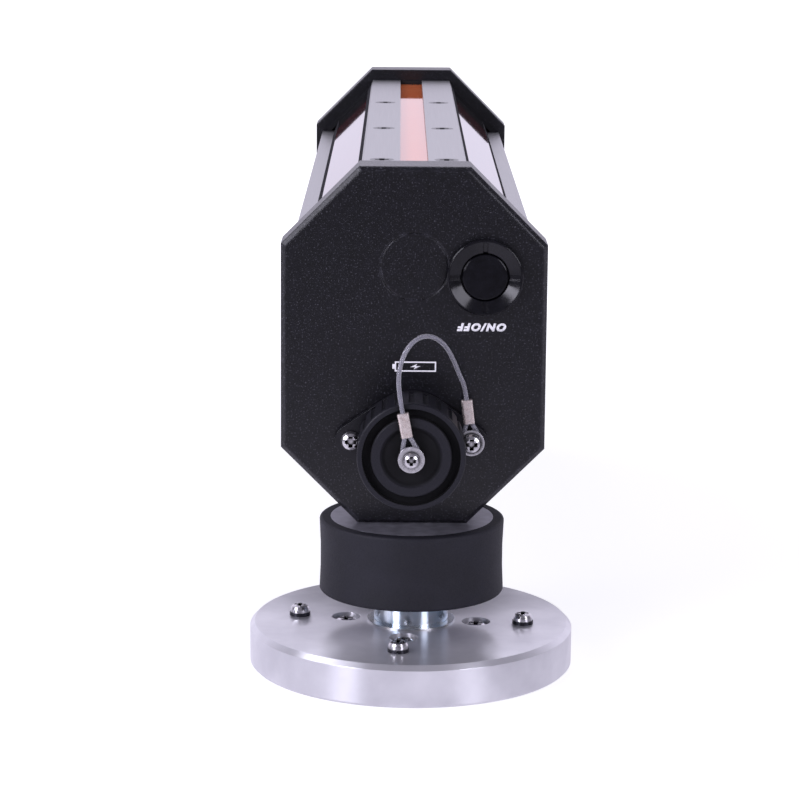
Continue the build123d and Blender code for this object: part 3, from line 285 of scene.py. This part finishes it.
def turned_aluminium(name, foot_y):
    # Bare aluminium faced on a lathe: fine rings round the post, so reflections draw out towards the rim.
    material, tree, shader, place = new_material(name, Metallic=0.8, Anisotropic=0.9,
                                                 Anisotropic_Rotation=0.25)
    rounded = add(tree, "Bevel", "Normal", {"Radius": 0.3 * MM}, samples=EDGE_SAMPLES)
    centred = add(tree, "Mapping", "Vector", {"Vector": place, "Location": (0.0, -foot_y, 0.0)})
    # Tool marks are about 0.15 mm apart, drawn at 0.7 mm so that they show.
    marks = add(tree, "TexWave", "Fac", {"Vector": centred, "Scale": wave_scale(0.7), "Distortion": 0.4},
                wave_type="RINGS", rings_direction="Z")
    smudge = add(tree, "TexNoise", "Fac", {"Vector": centred, "Scale": per_metre(16.0), "Detail": 4.0})
    patches = add(tree, "MapRange", "Result", {"Value": smudge, "From Min": 0.35, "From Max": 0.68})
    colour = add(tree, "Mix", MIX_COLOUR, {MIX_FACTOR: patches, MIX_A: rgb("#D9D9DD"), MIX_B: rgb("#EDEDF0")},
                 data_type="RGBA")
    gloss = add(tree, "MapRange", "Result", {"Value": smudge, "From Min": NOISE_LOW, "From Max": NOISE_HIGH,
                                             "To Min": 0.34, "To Max": 0.285})
    normal = add(tree, "Bump", "Normal", {"Height": marks, "Distance": 0.008 * MM, "Strength": 0.3,
                                          "Normal": rounded})
    tangent = add(tree, "Tangent", "Tangent", direction_type="RADIAL", axis="Z")
    link(tree, shader, Base_Color=colour, Roughness=gloss, Normal=normal, Tangent=tangent)
    return material


def zinc_plate():
    # Turned steel, bright zinc with a clear passivate: silver with a pale blue bloom and fine rings.
    material, tree, shader, place = new_material("zinc_plate", Metallic=1.0)
    rounded = add(tree, "Bevel", "Normal", {"Radius": 0.25 * MM}, samples=EDGE_SAMPLES)
    bloom = add(tree, "TexNoise", "Fac", {"Vector": place, "Scale": per_metre(7.0), "Detail": 2.0})
    patches = add(tree, "MapRange", "Result", {"Value": bloom, "From Min": 0.35, "From Max": 0.65})
    colour = add(tree, "Mix", MIX_COLOUR, {MIX_FACTOR: patches, MIX_A: rgb("#C2DAEC"), MIX_B: rgb("#E2E9EE")},
                 data_type="RGBA")
    # Turning marks, 0.45 mm apart.
    marks = add(tree, "TexWave", "Fac", {"Vector": place, "Scale": wave_scale(0.45), "Distortion": 0.6},
                bands_direction="Z")
    gloss = add(tree, "MapRange", "Result", {"Value": patches, "To Min": 0.12, "To Max": 0.2})
    normal = add(tree, "Bump", "Normal", {"Height": marks, "Distance": 0.006 * MM, "Strength": 0.2,
                                          "Normal": rounded})
    link(tree, shader, Base_Color=colour, Roughness=gloss, Normal=normal)
    return material


def milled_aluminium():
    # Bare milled aluminium: grey, with soft cutter marks.
    return mottled("milled_aluminium", 0.8, ("#A9A9B0", "#C6C6CC"), (0.3, 0.42), relief_mm=0.01, edge_mm=0.2,
                   Metallic=1.0)


def pressed_steel():
    # Zinc-plated steel plates and rods: grey and lightly scuffed.
    return mottled("pressed_steel", 3.0, ("#93929C", "#B9B8C2"), (0.28, 0.4), relief_mm=0.004, edge_mm=0.2,
                   Metallic=0.7)


def stainless_screw():
    # Cold-headed stainless steel: bright, with soft die marks and painted shade in the cross.
    return mottled("stainless_screw", 0.8, ("#CDCBCE", "#EEEDEF"), (0.14, 0.28), relief_mm=0.01, edge_mm=0.18,
                   shade_mm=1.2, Metallic=1.0)


def dark_spring_steel():
    # Hardened spring steel, oiled: dark grey with a dull shine.
    return mottled("dark_spring_steel", 0.7, ("#2A2A2E", "#4A4A50"), (0.3, 0.5), edge_mm=0.12, Metallic=1.0)


def drawn_wire():
    # Drawn stainless spring wire: bright grey, dulled a little by the die.
    return mottled("drawn_wire", 0.5, ("#A9A9AE", "#C4C4C9"), (0.2, 0.34), Metallic=1.0)


def black_oxide():
    # Oiled black oxide on steel screws: satin black, with the same pale sheen as the bars at a low angle.
    return mottled("black_oxide", 1.0, ("#0E0E11", "#1E1E23"), (0.3, 0.38), edge_mm=0.15, IOR=2.2)


def nickel_plate():
    # Nickel plate on the magnets' steel pots: warm silver, lightly rubbed by what they have held.
    return mottled("nickel_plate", 2.0, ("#B8B2A8", "#D6D1C8"), (0.12, 0.35), edge_mm=0.25, Metallic=1.0)


def tinned_bronze():
    # Bronze bush with a tin flash: pale grey metal, a little warmer where the flash is thin.
    return mottled("tinned_bronze", 4.0, ("#C8D2DE", "#DAD8D4"), (0.16, 0.28), edge_mm=0.15, Metallic=1.0)


def moulded_rubber():
    # Vulcanised natural rubber: matt black, fine mould texture and a faint grey bloom.
    material, tree, shader, place = new_material("moulded_rubber", IOR=1.45)
    rounded = add(tree, "Bevel", "Normal", {"Radius": 0.4 * MM}, samples=EDGE_SAMPLES)
    skin = add(tree, "TexNoise", "Fac", {"Vector": place, "Scale": per_metre(0.45), "Detail": 3.0})
    bloom = add(tree, "TexNoise", "Fac", {"Vector": place, "Scale": per_metre(11.0), "Detail": 4.0})
    patches = add(tree, "MapRange", "Result", {"Value": bloom, "From Min": 0.35, "From Max": 0.7})
    colour = add(tree, "Mix", MIX_COLOUR, {MIX_FACTOR: patches, MIX_A: rgb("#17171F"), MIX_B: rgb("#1D1D27")},
                 data_type="RGBA")
    gloss = add(tree, "MapRange", "Result", {"Value": skin, "From Min": NOISE_LOW, "From Max": NOISE_HIGH,
                                             "To Min": 0.7, "To Max": 0.58})
    normal = add(tree, "Bump", "Normal", {"Height": skin, "Distance": 0.05 * MM, "Strength": 0.25,
                                          "Normal": rounded})
    link(tree, shader, Base_Color=colour, Roughness=gloss, Normal=normal)
    return material


def seal_rubber():
    # Thin sheet gaskets and seals: soft black rubber with no shine.
    return mottled("seal_rubber", 0.4, ("#0E0E12", "#17171C"), (0.6, 0.8), IOR=1.45)


def satin_moulding():
    # Moulded dust cap with a rubberised skin: satin black with a fine spark texture,
    # with painted shade that darkens and dulls its groove and dish.
    material, tree, shader, place = new_material("satin_moulding", IOR=1.4)
    rounded = add(tree, "Bevel", "Normal", {"Radius": 0.25 * MM}, samples=EDGE_SAMPLES)
    spark = add(tree, "TexNoise", "Fac", {"Vector": place, "Scale": per_metre(0.35), "Detail": 4.0})
    share = add(tree, "MapRange", "Result", {"Value": spark, "From Min": NOISE_LOW, "From Max": NOISE_HIGH})
    from_axis = add(tree, "Mapping", "Vector", {"Vector": place, "Location": (-CAP_AXIS.x, 0.0, -CAP_AXIS.z),
                                                "Scale": (1.0, 0.0, 1.0)})
    reach = add(tree, "VectorMath", "Value", {0: from_axis}, operation="LENGTH")
    # Painted shade in the sunk dish of the face, on top of the painted shade that ambient occlusion puts in
    # the groove.
    dish = add(tree, "MapRange", "Result", {"Value": reach, "From Min": (DISH_R - DISH_EDGE) * MM,
                                            "From Max": DISH_R * MM, "To Min": DISH_UNSHADED})
    open_air = add(tree, "AmbientOcclusion", "AO", {"Distance": 4.0 * MM}, samples=SHADE_SAMPLES)
    clear = add(tree, "MapRange", "Result", {"Value": open_air, "From Min": FULL_SHADE, "From Max": NO_SHADE})
    unshaded = add(tree, "Math", "Value", {0: clear, 1: dish}, operation="MULTIPLY")
    black = add(tree, "Mix", MIX_COLOUR, {MIX_FACTOR: share, MIX_A: rgb("#17171D"), MIX_B: rgb("#212129")},
                data_type="RGBA")
    colour = add(tree, "Mix", MIX_COLOUR, {MIX_FACTOR: unshaded, MIX_A: rgb(RECESS_SHADE), MIX_B: black},
                 data_type="RGBA")
    satin = add(tree, "MapRange", "Result", {"Value": share, "To Min": 0.46, "To Max": 0.36})
    gloss = add(tree, "MapRange", "Result", {"Value": unshaded, "To Min": SHADE_ROUGHNESS, "To Max": satin})
    normal = add(tree, "Bump", "Normal", {"Height": spark, "Distance": 0.006 * MM, "Normal": rounded})
    link(tree, shader, Base_Color=colour, Roughness=gloss, Normal=normal)
    return material


def satin_black_shell():
    # Moulded nylon socket shell: smooth satin black, a little brighter on its edges.
    return mottled("satin_black_shell", 0.9, ("#0E0E13", "#16161D"), (0.3, 0.42), relief_mm=0.005,
                   edge_mm=0.3, IOR=1.5)


def gloss_black_moulding():
    # Polished ABS push button: deep gloss black with faint handling marks.
    return mottled("gloss_black_moulding", 2.2, ("#08080C", "#0F0F15"), (0.1, 0.18), edge_mm=0.4, IOR=1.42)


def orange_acrylic():
    # Cast acrylic over the lamps: saturated orange, polished,
    # near white where it mirrors the sky at a low angle.
    return mottled("orange_acrylic", 14.0, ("#FF8040", "#FF8C52"), (0.02, 0.04), IOR=1.72, Coat_Weight=0.3)


def red_filter_acrylic():
    # Infra-red filter acrylic, polished: near black,
    # and a deep red where a board behind it throws light back.
    material, tree, shader, place = new_material("red_filter_acrylic", IOR=1.76, Coat_Weight=0.6)
    along = add(tree, "SeparateXYZ", "Y", {0: place})
    reach = add(tree, "Math", "Value", {0: along}, operation="ABSOLUTE")
    backed = add(tree, "MapRange", "Result", {"Value": reach, "From Min": BOARD_REACH * MM,
                                              "From Max": (BOARD_REACH - BOARD_BLUR) * MM})
    cloud = add(tree, "TexNoise", "Fac", {"Vector": place, "Scale": per_metre(18.0), "Detail": 2.0})
    red = add(tree, "Mix", MIX_COLOUR, {MIX_FACTOR: cloud, MIX_A: rgb("#57141B"), MIX_B: rgb("#661A22")},
              data_type="RGBA")
    colour = add(tree, "Mix", MIX_COLOUR, {MIX_FACTOR: backed, MIX_A: rgb("#0A0709"), MIX_B: red},
                 data_type="RGBA")
    gloss = add(tree, "MapRange", "Result", {"Value": cloud, "To Min": 0.02, "To Max": 0.04})
    link(tree, shader, Base_Color=colour, Roughness=gloss)
    return material


def shade_line_bead():
    # Dull black beads along the slanted panes: painted shade, drawn as geometry where the panes' edges show
    # dark shade lines, so that they stay dark beside the shining panes.
    return mottled("shade_line_bead", 0.5, ("#101016", "#191920"), (0.85, 0.95), IOR=1.4, Specular_IOR_Level=0.2)


def black_nylon():
    # Moulded nylon inside the case: plain dull black.
    return mottled("black_nylon", 0.6, ("#1A1A1D", "#27272B"), (0.45, 0.6), IOR=1.53)


def green_laminate():
    # Glass-epoxy circuit board under green solder mask, with the copper tracks showing as a lighter green.
    material, tree, shader, place = new_material("green_laminate", IOR=1.5)
    # Tracks sit 5 mm apart, about four times as far as real ones, so that they show.
    tracks = add(tree, "TexBrick", "Fac", {"Vector": place, "Scale": per_metre(5.0), "Mortar Size": 0.02})
    colour = add(tree, "Mix", MIX_COLOUR, {MIX_FACTOR: tracks, MIX_A: rgb("#0E4A2C"), MIX_B: rgb("#1C6B42")},
                 data_type="RGBA")
    gloss = add(tree, "MapRange", "Result", {"Value": tracks, "To Min": 0.35, "To Max": 0.28})
    link(tree, shader, Base_Color=colour, Roughness=gloss)
    return material


def dark_lens():
    # Photodiode in dark daylight-filter epoxy: glossy purple black.
    return mottled("dark_lens", 5.0, ("#160A14", "#25101F"), (0.08, 0.16), IOR=1.54)


def lamp_epoxy():
    # Surface-mount lamps: milky clear epoxy.
    return mottled("lamp_epoxy", 1.5, ("#DAD9CC", "#EFEDE2"), (0.15, 0.3), IOR=1.54)


def chip_moulding():
    # Moulded chip packages: charcoal with a fine grain.
    return mottled("chip_moulding", 0.3, ("#222224", "#333336"), (0.5, 0.65), IOR=1.5)


def cell_sleeve():
    # Shrink sleeve on the battery cells: glossy blue film with soft wrinkles.
    return mottled("cell_sleeve", 6.0, ("#1F4C86", "#2A60A2"), (0.2, 0.35), relief_mm=0.02, IOR=1.5)


def silicone_lead():
    # Silicone-sleeved leads inside the case: dull black.
    return mottled("silicone_lead", 2.0, ("#17171A", "#29292D"), (0.45, 0.65), IOR=1.42)


def gold_flash():
    # Gold flash over brass contact pins: bright yellow metal.
    return mottled("gold_flash", 1.0, ("#D9B45C", "#EBCB78"), (0.12, 0.25), Metallic=1.0)


def clear_sleeve():
    # Clear vinyl over the tether's wire: glassy, a little smoky, with light caught along both edges.
    return mottled("clear_sleeve", 3.0, ("#D6D5E0", "#E4E3EC"), (0.06, 0.12), IOR=1.45,
                   Transmission_Weight=0.75, Sheen_Weight=0.6, Sheen_Roughness=0.35)


def wire_strand():
    # Stranded steel inside the sleeve: grey, with the strands' twist catching light.
    material, tree, shader, place = new_material("wire_strand", Metallic=1.0)
    # Strands cross the wire every 0.6 mm.
    twist = add(tree, "TexWave", "Fac", {"Vector": place, "Scale": wave_scale(0.6)},
                bands_direction="DIAGONAL")
    colour = add(tree, "Mix", MIX_COLOUR, {MIX_FACTOR: twist, MIX_A: rgb("#5B5A64"), MIX_B: rgb("#696872")},
                 data_type="RGBA")
    gloss = add(tree, "MapRange", "Result", {"Value": twist, "To Min": 0.45, "To Max": 0.3})
    link(tree, shader, Base_Color=colour, Roughness=gloss)
    return material


def crimped_aluminium():
    # Aluminium ferrule squeezed in a crimping tool: pale, slightly warm metal with press marks.
    return mottled("crimped_aluminium", 1.3, ("#E6D6CE", "#FFF5EF"), (0.2, 0.36), relief_mm=0.03,
                   edge_mm=0.25, Metallic=0.8)


def white_ink():
    # Pad-printed white ink: flat and dull, a very little uneven.
    return mottled("white_ink", 0.5, ("#F0F0F3", "#FFFFFF"), (0.5, 0.65), IOR=1.45)


# Tether

ROUTE_STEPS = 10           # steps of the line from point to point of its route, and round its tube
ROUND_STEPS = 4
# Sizes and places in millimetres
WIRE_D = 1.3
CORE_D = 0.4
# Route from the dust cap's ferrule to the panel's, as the solid has it
TETHER_ROUTE = [
    (-3.04, -201.85, 82.86), (-3.94, -201.85, 87.47), (-4.4, -201.7, 93.4), (-3.4, -200.7, 98.0),
    (-1.6, -199.0, 101.4), (1.0, -196.5, 103.4), (3.7, -193.5, 103.6), (6.5, -190.3, 102.3),
    (9.3, -187.1, 99.3), (11.5, -184.1, 94.8), (13.2, -181.4, 90.2), (14.98, -179.75, 86.28),
    (15.47, -179.75, 82.31),
]


def route_mesh(name, route, diameter):
    """A route's smooth line, or with a diameter the round tube along it."""
    curve = bpy.data.curves.new(name, "CURVE")
    curve.dimensions = "3D"
    spline = curve.splines.new("NURBS")
    spline.points.add(len(route) - 1)
    for knot, place in zip(spline.points, route):
        knot.co = (*(Vector(place) * MM), 1)
    spline.order_u = 3
    spline.use_endpoint_u = True
    spline.resolution_u = ROUTE_STEPS
    curve.bevel_depth = diameter / 2 * MM
    curve.bevel_resolution = ROUND_STEPS
    curve.use_fill_caps = diameter > 0
    return mesh_of(curve)


def make_tether():
    glassy = clear_sleeve()
    line = [vertex.co.copy() for vertex in route_mesh("tether_line", TETHER_ROUTE, 0).vertices]
    sleeve = show("tether", route_mesh("tether", TETHER_ROUTE, WIRE_D), glassy, None)
    core = show("tether_core", route_mesh("tether_core", TETHER_ROUTE, CORE_D), wire_strand(), None)
    for piece in (sleeve, core):
        piece.data.shade_smooth()
        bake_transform(piece)
    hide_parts("tether_wire")
    dress(glassy, "cap_eye", "panel_eye", "tether_wire")


# Lettering

# Sizes and places in millimetres
INK_T = 0.03
SWITCH_WORDS = "ON/OFF"
SWITCH_WORDS_W = 14.3
SWITCH_WORDS_H = 2.45
SWITCH_WORDS_PLACE = (20.0, 6.25)     # x and z from the cap's middle
SWITCH_WORDS_SLANT = 0.24
SWITCH_WORDS_SPREAD = 1.28
SWITCH_WORDS_BOLD = 0.065             # stroke added all round, for letters one unit high
CHARGE_SIGN_PLACE = (0.6, -5.6)
BATTERY_W = 12.0
BATTERY_H = 3.0
BATTERY_LINE = 0.4
BATTERY_TIP = (0.7, 1.4)
BOLT = [(0.5, 0.8), (-1.5, -0.15), (-0.1, -0.15), (-0.5, -0.8), (1.5, 0.15), (0.1, 0.15)]


def printed(mesh, place):
    """Flat print in X and Y, turned upside down and set on the front cap's face."""
    x, z = place
    on_face = Matrix.Translation((x * MM, FACE_Y, CAP_MIDDLE_Z + z * MM))
    upside_down = Matrix.Rotation(math.pi, 4, "Y") @ Matrix.Rotation(math.pi / 2, 4, "X")
    mesh.transform(on_face @ upside_down)
    return mesh


def thicken(shape):
    """Gives a flat print its ink's thickness."""
    extrude(shape, shape.faces[:], (0, 0, INK_T * MM))
    bmesh.ops.recalc_face_normals(shape, faces=shape.faces[:])


def switch_words():
    text = bpy.data.curves.new("switch_words", "FONT")
    text.body = SWITCH_WORDS
    text.align_x = "CENTER"
    text.align_y = "CENTER"
    text.shear = SWITCH_WORDS_SLANT
    text.offset = SWITCH_WORDS_BOLD
    text.space_character = SWITCH_WORDS_SPREAD
    mesh = mesh_of(text)
    spans = [[vertex.co[k] for vertex in mesh.vertices] for k in (0, 1)]
    wide, high = (max(span) - min(span) for span in spans)
    mesh.transform(Matrix.Diagonal((SWITCH_WORDS_W * MM / wide, SWITCH_WORDS_H * MM / high, 1, 1)))
    shape = bmesh.new()
    shape.from_mesh(mesh)
    thicken(shape)
    return printed(finished(shape, mesh), SWITCH_WORDS_PLACE)


def flat_face(shape, points):
    shape.faces.new([shape.verts.new((x * MM, y * MM, 0)) for x, y in points])


def flat_bar(shape, x0, x1, y0, y1):
    flat_face(shape, [(x0, y0), (x1, y0), (x1, y1), (x0, y1)])


def charge_sign():
    """A plain battery with a bolt in it."""
    shape = bmesh.new()
    w, h, line = BATTERY_W / 2, BATTERY_H / 2, BATTERY_LINE
    tip_w, tip_h = BATTERY_TIP
    flat_bar(shape, -w, w, h - line, h)
    flat_bar(shape, -w, w, -h, line - h)
    flat_bar(shape, -w, line - w, line - h, h - line)
    flat_bar(shape, w - line, w, line - h, h - line)
    flat_bar(shape, w, w + tip_w, -tip_h / 2, tip_h / 2)
    flat_face(shape, BOLT)
    thicken(shape)
    return printed(finished(shape, bpy.data.meshes.new("charge_sign")), CHARGE_SIGN_PLACE)


def make_lettering():
    ink = white_ink()
    show("switch_words", switch_words(), ink, "receiver")
    show("charge_sign", charge_sign(), ink, "receiver")


# Dark beads along the slanted panes, standing in for their shade lines

# Sections of the right-hand beads, x and z in mm from the body's middle:
# on the top bar's side and on the pane's lower edge
SHADE_LINE_SECTIONS = [
    [(16.15, 47.1), (16.25, 47.1), (17.5, 44.5), (17.4, 44.05), (17.12, 44.31), (17.36, 44.6)],
    [(29.06, 32.38), (29.2, 32.36), (31.14, 27.72), (31.12, 27.62), (31.04, 27.62), (29.12, 32.33)],
]
SHADE_LINE_END_GAP = 0.2         # mm short of the panes' ends


def make_shade_lines():
    low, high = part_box("slant_windows")
    start, end = low.y + SHADE_LINE_END_GAP * MM, high.y - SHADE_LINE_END_GAP * MM
    shape = bmesh.new()
    for section in SHADE_LINE_SECTIONS:
        for side in (1, -1):
            ends = [shape.verts.new((side * x * MM, start, CAP_MIDDLE_Z + z * MM)) for x, z in section]
            extrude(shape, [shape.faces.new(ends)], (0, end - start, 0), use_keep_orig=True)
    bmesh.ops.recalc_face_normals(shape, faces=shape.faces[:])
    mesh = finished(shape, bpy.data.meshes.new("slant_shade_lines"))
    show("slant_shade_lines", mesh, shade_line_bead(), "receiver")


# Return spring

SPRING_MERGE = 0.001       # mm between points of the solid's loose triangles that become one


def make_return_spring():
    """The button's spring, merged into one smooth mesh that rides on the receiver."""
    shape = bmesh.new()
    shape.from_mesh(NODES["button_spring"].data)
    bmesh.ops.remove_doubles(shape, verts=shape.verts[:], dist=SPRING_MERGE * MM)
    mesh = finished(shape, bpy.data.meshes.new("return_spring"))
    spring = show("return_spring", mesh, drawn_wire(), "receiver")
    spring.data.shade_smooth()
    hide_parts("button_spring")
    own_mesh(spring)


# Finishes on the CAD nodes

def dress(material, *names):
    for name in names:
        for slot in NODES[name].material_slots:
            slot.material = material


def dress_nodes():
    dress(fine_powder_coat(), "front_cap", "rear_cap", "blanking_plug")
    dress(black_anodised(), "top_bars", "corner_rails", "back_channel")
    screws = stainless_screw()
    steel = pressed_steel()
    spring = dark_spring_steel()
    nickel = nickel_plate()
    bronze = tinned_bronze()
    for foot, foot_y in FOOT_Y.items():
        dress(turned_aluminium(f"turned_aluminium_{foot}", foot_y), f"{foot}_disc")
        dress(bronze, f"{foot}_bush")
        dress(steel, f"{foot}_retaining_plate")
        dress(screws, f"{foot}_retainer_screws", f"{foot}_magnet_screws")
        dress(spring, f"{foot}_spring_washers")
        dress(nickel, f"{foot}_pot_magnets")
    dress(screws, "socket_screws", "cap_screw", "button_spring")
    dress(milled_aluminium(), "bulkheads")
    dress(zinc_plate(), "foot_posts")
    dress(steel, "buffer_plates", "tie_rods")
    dress(moulded_rubber(), "rubber_buffers")
    dress(seal_rubber(), "end_gaskets", "button_seal", "socket_gasket", "dust_cap_seal")
    dress(black_oxide(), "bar_screws", "rod_screws")
    dress(orange_acrylic(), "strip_window")
    dress(red_filter_acrylic(), "slant_windows", "side_windows")
    dress(gloss_black_moulding(), "button_bezel", "button_actuator")
    dress(satin_black_shell(), "socket_shell")
    dress(satin_moulding(), "dust_cap")
    dress(black_nylon(), "battery_cradle", "battery_strap", "button_nut", "button_switch", "socket_insert")
    dress(green_laminate(), "sensor_boards", "lamp_board", "main_board")
    dress(dark_lens(), "photodiodes")
    dress(lamp_epoxy(), "lamps")
    dress(chip_moulding(), "board_components")
    dress(cell_sleeve(), "battery_cells")
    dress(silicone_lead(), "inner_leads")
    dress(gold_flash(), "socket_pins")
    dress(crimped_aluminium(), "cap_ferrule", "panel_ferrule")


# Floor, light and background

# Lengths in metres
FLOOR_HALF = 8.0
FLOOR_PAINT = "#F4F4F6"    # the floor as it lights the object
FLOOR_SHADED = "#B4B4B8"   # the part of it that takes the shadow
FLOOR_NEAR = 0.12          # round the feet the floor takes shadow, and past FLOOR_FAR it is plain white
FLOOR_FAR = 0.6
FLOOR_GLOW = 0.7           # the floor's own white near the feet
FLOOR_DARK_Y = -0.75       # in reflections, the floor is dark past here and white from FLOOR_LIGHT_Y on
FLOOR_LIGHT_Y = -0.28
FLOOR_DARK = 0.22
FLOOR_LIT_X = 0.01         # in reflections, the floor dims to the right of the feet, where their shadow falls
FLOOR_DIM_X = 0.07
FLOOR_DIM = 0.7
FLOOR_DIM_NEAR = 0.3       # that dimming fades out from here to FLOOR_FAR
SKY_DARK_Y = 0.2           # in reflections, the sky is dark towards the camera and white behind the object
SKY_LIGHT_Y = 0.65
SKY_DARK = 0.22
FILL = 0.55                # even light from all round
LAMP_TINT = "#F1EFFF"      # the soft boxes' light
SKY_TINT = "#F0EBFF"       # the white backdrop in reflections
WHITE = "#FFFFFF"
AIM = (0.0, -0.12, 0.08)   # what the soft boxes point at
# Soft boxes: name, place, width, height, watts
SOFT_BOXES = [
    ("left_box", (-0.85, -0.95, 0.5), 0.4, 0.56, 6.0),
    ("right_box", (0.8, -1.0, 0.5), 0.4, 0.56, 3.5),
    ("high_left_box", (-0.9, -0.3, 0.8), 0.5, 0.5, 3.5),
    ("back_box", (0.0, 0.8, 1.1), 0.7, 0.5, 5.0),
]


def white_floor():
    """Pale floor that keeps the object's shadow near it and is plain white further out."""
    material = bpy.data.materials.new("white_floor")
    material.use_nodes = True
    tree = material.node_tree
    tree.nodes.remove(tree.nodes["Principled BSDF"])
    place = add(tree, "TexCoord", "Object")
    reach = add(tree, "VectorMath", "Value", {0: place}, operation="LENGTH")
    glow = add(tree, "MapRange", "Result", {"Value": reach, "From Min": FLOOR_NEAR, "From Max": FLOOR_FAR,
                                            "To Min": FLOOR_GLOW})
    along = add(tree, "SeparateXYZ", "Y", {0: place})
    shaded = add(tree, "MapRange", "Result", {"Value": along, "From Min": FLOOR_DARK_Y,
                                              "From Max": FLOOR_LIGHT_Y, "To Min": FLOOR_DARK})
    across = add(tree, "SeparateXYZ", "X", {0: place})
    dimmed = add(tree, "MapRange", "Result", {"Value": across, "From Min": FLOOR_LIT_X,
                                              "From Max": FLOOR_DIM_X, "To Min": 1.0, "To Max": FLOOR_DIM})
    local = add(tree, "MapRange", "Result", {"Value": reach, "From Min": FLOOR_DIM_NEAR,
                                             "From Max": FLOOR_FAR, "To Min": dimmed})
    strength = add(tree, "Math", "Value", {0: shaded, 1: local}, operation="MULTIPLY")
    lit = add(tree, "BsdfDiffuse", "BSDF", {"Color": rgb(FLOOR_PAINT)})
    pale = add(tree, "BsdfDiffuse", "BSDF", {"Color": rgb(FLOOR_SHADED)})
    own = add(tree, "Emission", "Emission", {"Strength": glow})
    shown = add(tree, "AddShader", "Shader", {0: own, 1: pale})
    mirrored = add(tree, "Emission", "Emission", {"Color": rgb(SKY_TINT), "Strength": strength})
    direct = add(tree, "Math", "Value", {0: add(tree, "LightPath", "Is Camera Ray"),
                                         1: add(tree, "LightPath", "Is Transmission Ray")},
                 operation="MAXIMUM")
    seen = add(tree, "MixShader", "Shader", {0: direct, 1: lit, 2: shown})
    glossy = add(tree, "LightPath", "Is Glossy Ray")
    floor = add(tree, "MixShader", "Shader", {0: glossy, 1: seen, 2: mirrored})
    tree.links.new(floor, tree.nodes["Material Output"].inputs["Surface"])
    return material


def make_floor():
    shape = bmesh.new()
    bmesh.ops.create_grid(shape, x_segments=1, y_segments=1, size=FLOOR_HALF)
    mesh = finished(shape, bpy.data.meshes.new("floor"))
    show("floor", mesh, white_floor(), None)


def make_background():
    """White all round to the camera, even fill on the object, and a dim studio in front for reflections."""
    world = bpy.data.worlds.new("studio")
    bpy.context.scene.world = world
    world.use_nodes = True
    tree = world.node_tree
    towards = add(tree, "SeparateXYZ", "Y", {0: add(tree, "TexCoord", "Generated")})
    mirrored = add(tree, "MapRange", "Result", {"Value": towards, "From Min": SKY_DARK_Y,
                                                "From Max": SKY_LIGHT_Y, "To Min": SKY_DARK})
    unseen = add(tree, "Mix", MIX_NUMBER, {MIX_FACTOR: add(tree, "LightPath", "Is Glossy Ray"),
                                          MIX_LOW: FILL, MIX_HIGH: mirrored})
    direct = add(tree, "Math", "Value", {0: add(tree, "LightPath", "Is Camera Ray"),
                                         1: add(tree, "LightPath", "Is Transmission Ray")},
                 operation="MAXIMUM")
    level = add(tree, "Mix", MIX_NUMBER, {MIX_FACTOR: direct, MIX_LOW: unseen, MIX_HIGH: 1.0})
    tint = add(tree, "Mix", MIX_COLOUR, {MIX_FACTOR: direct, MIX_A: rgb(SKY_TINT), MIX_B: rgb(WHITE)},
               data_type="RGBA")
    background = tree.nodes["Background"]
    tree.links.new(level, background.inputs["Strength"])
    tree.links.new(tint, background.inputs["Color"])


def make_lights():
    for name, place, width, height, watts in SOFT_BOXES:
        data = bpy.data.lights.new(name, "AREA")
        data.shape = "RECTANGLE"
        data.size = width
        data.size_y = height
        data.energy = watts
        data.color = rgb(LAMP_TINT)[:3]
        lamp = in_scene(name, data)
        lamp.location = place
        lamp.rotation_euler = (Vector(AIM) - Vector(place)).to_track_quat("-Z", "Y").to_euler()


make_camera()
make_tether()
dress_nodes()
make_shade_lines()
make_return_spring()
make_lettering()
make_floor()
make_background()
make_lights()
bpy.context.scene.view_settings.view_transform = "Standard"
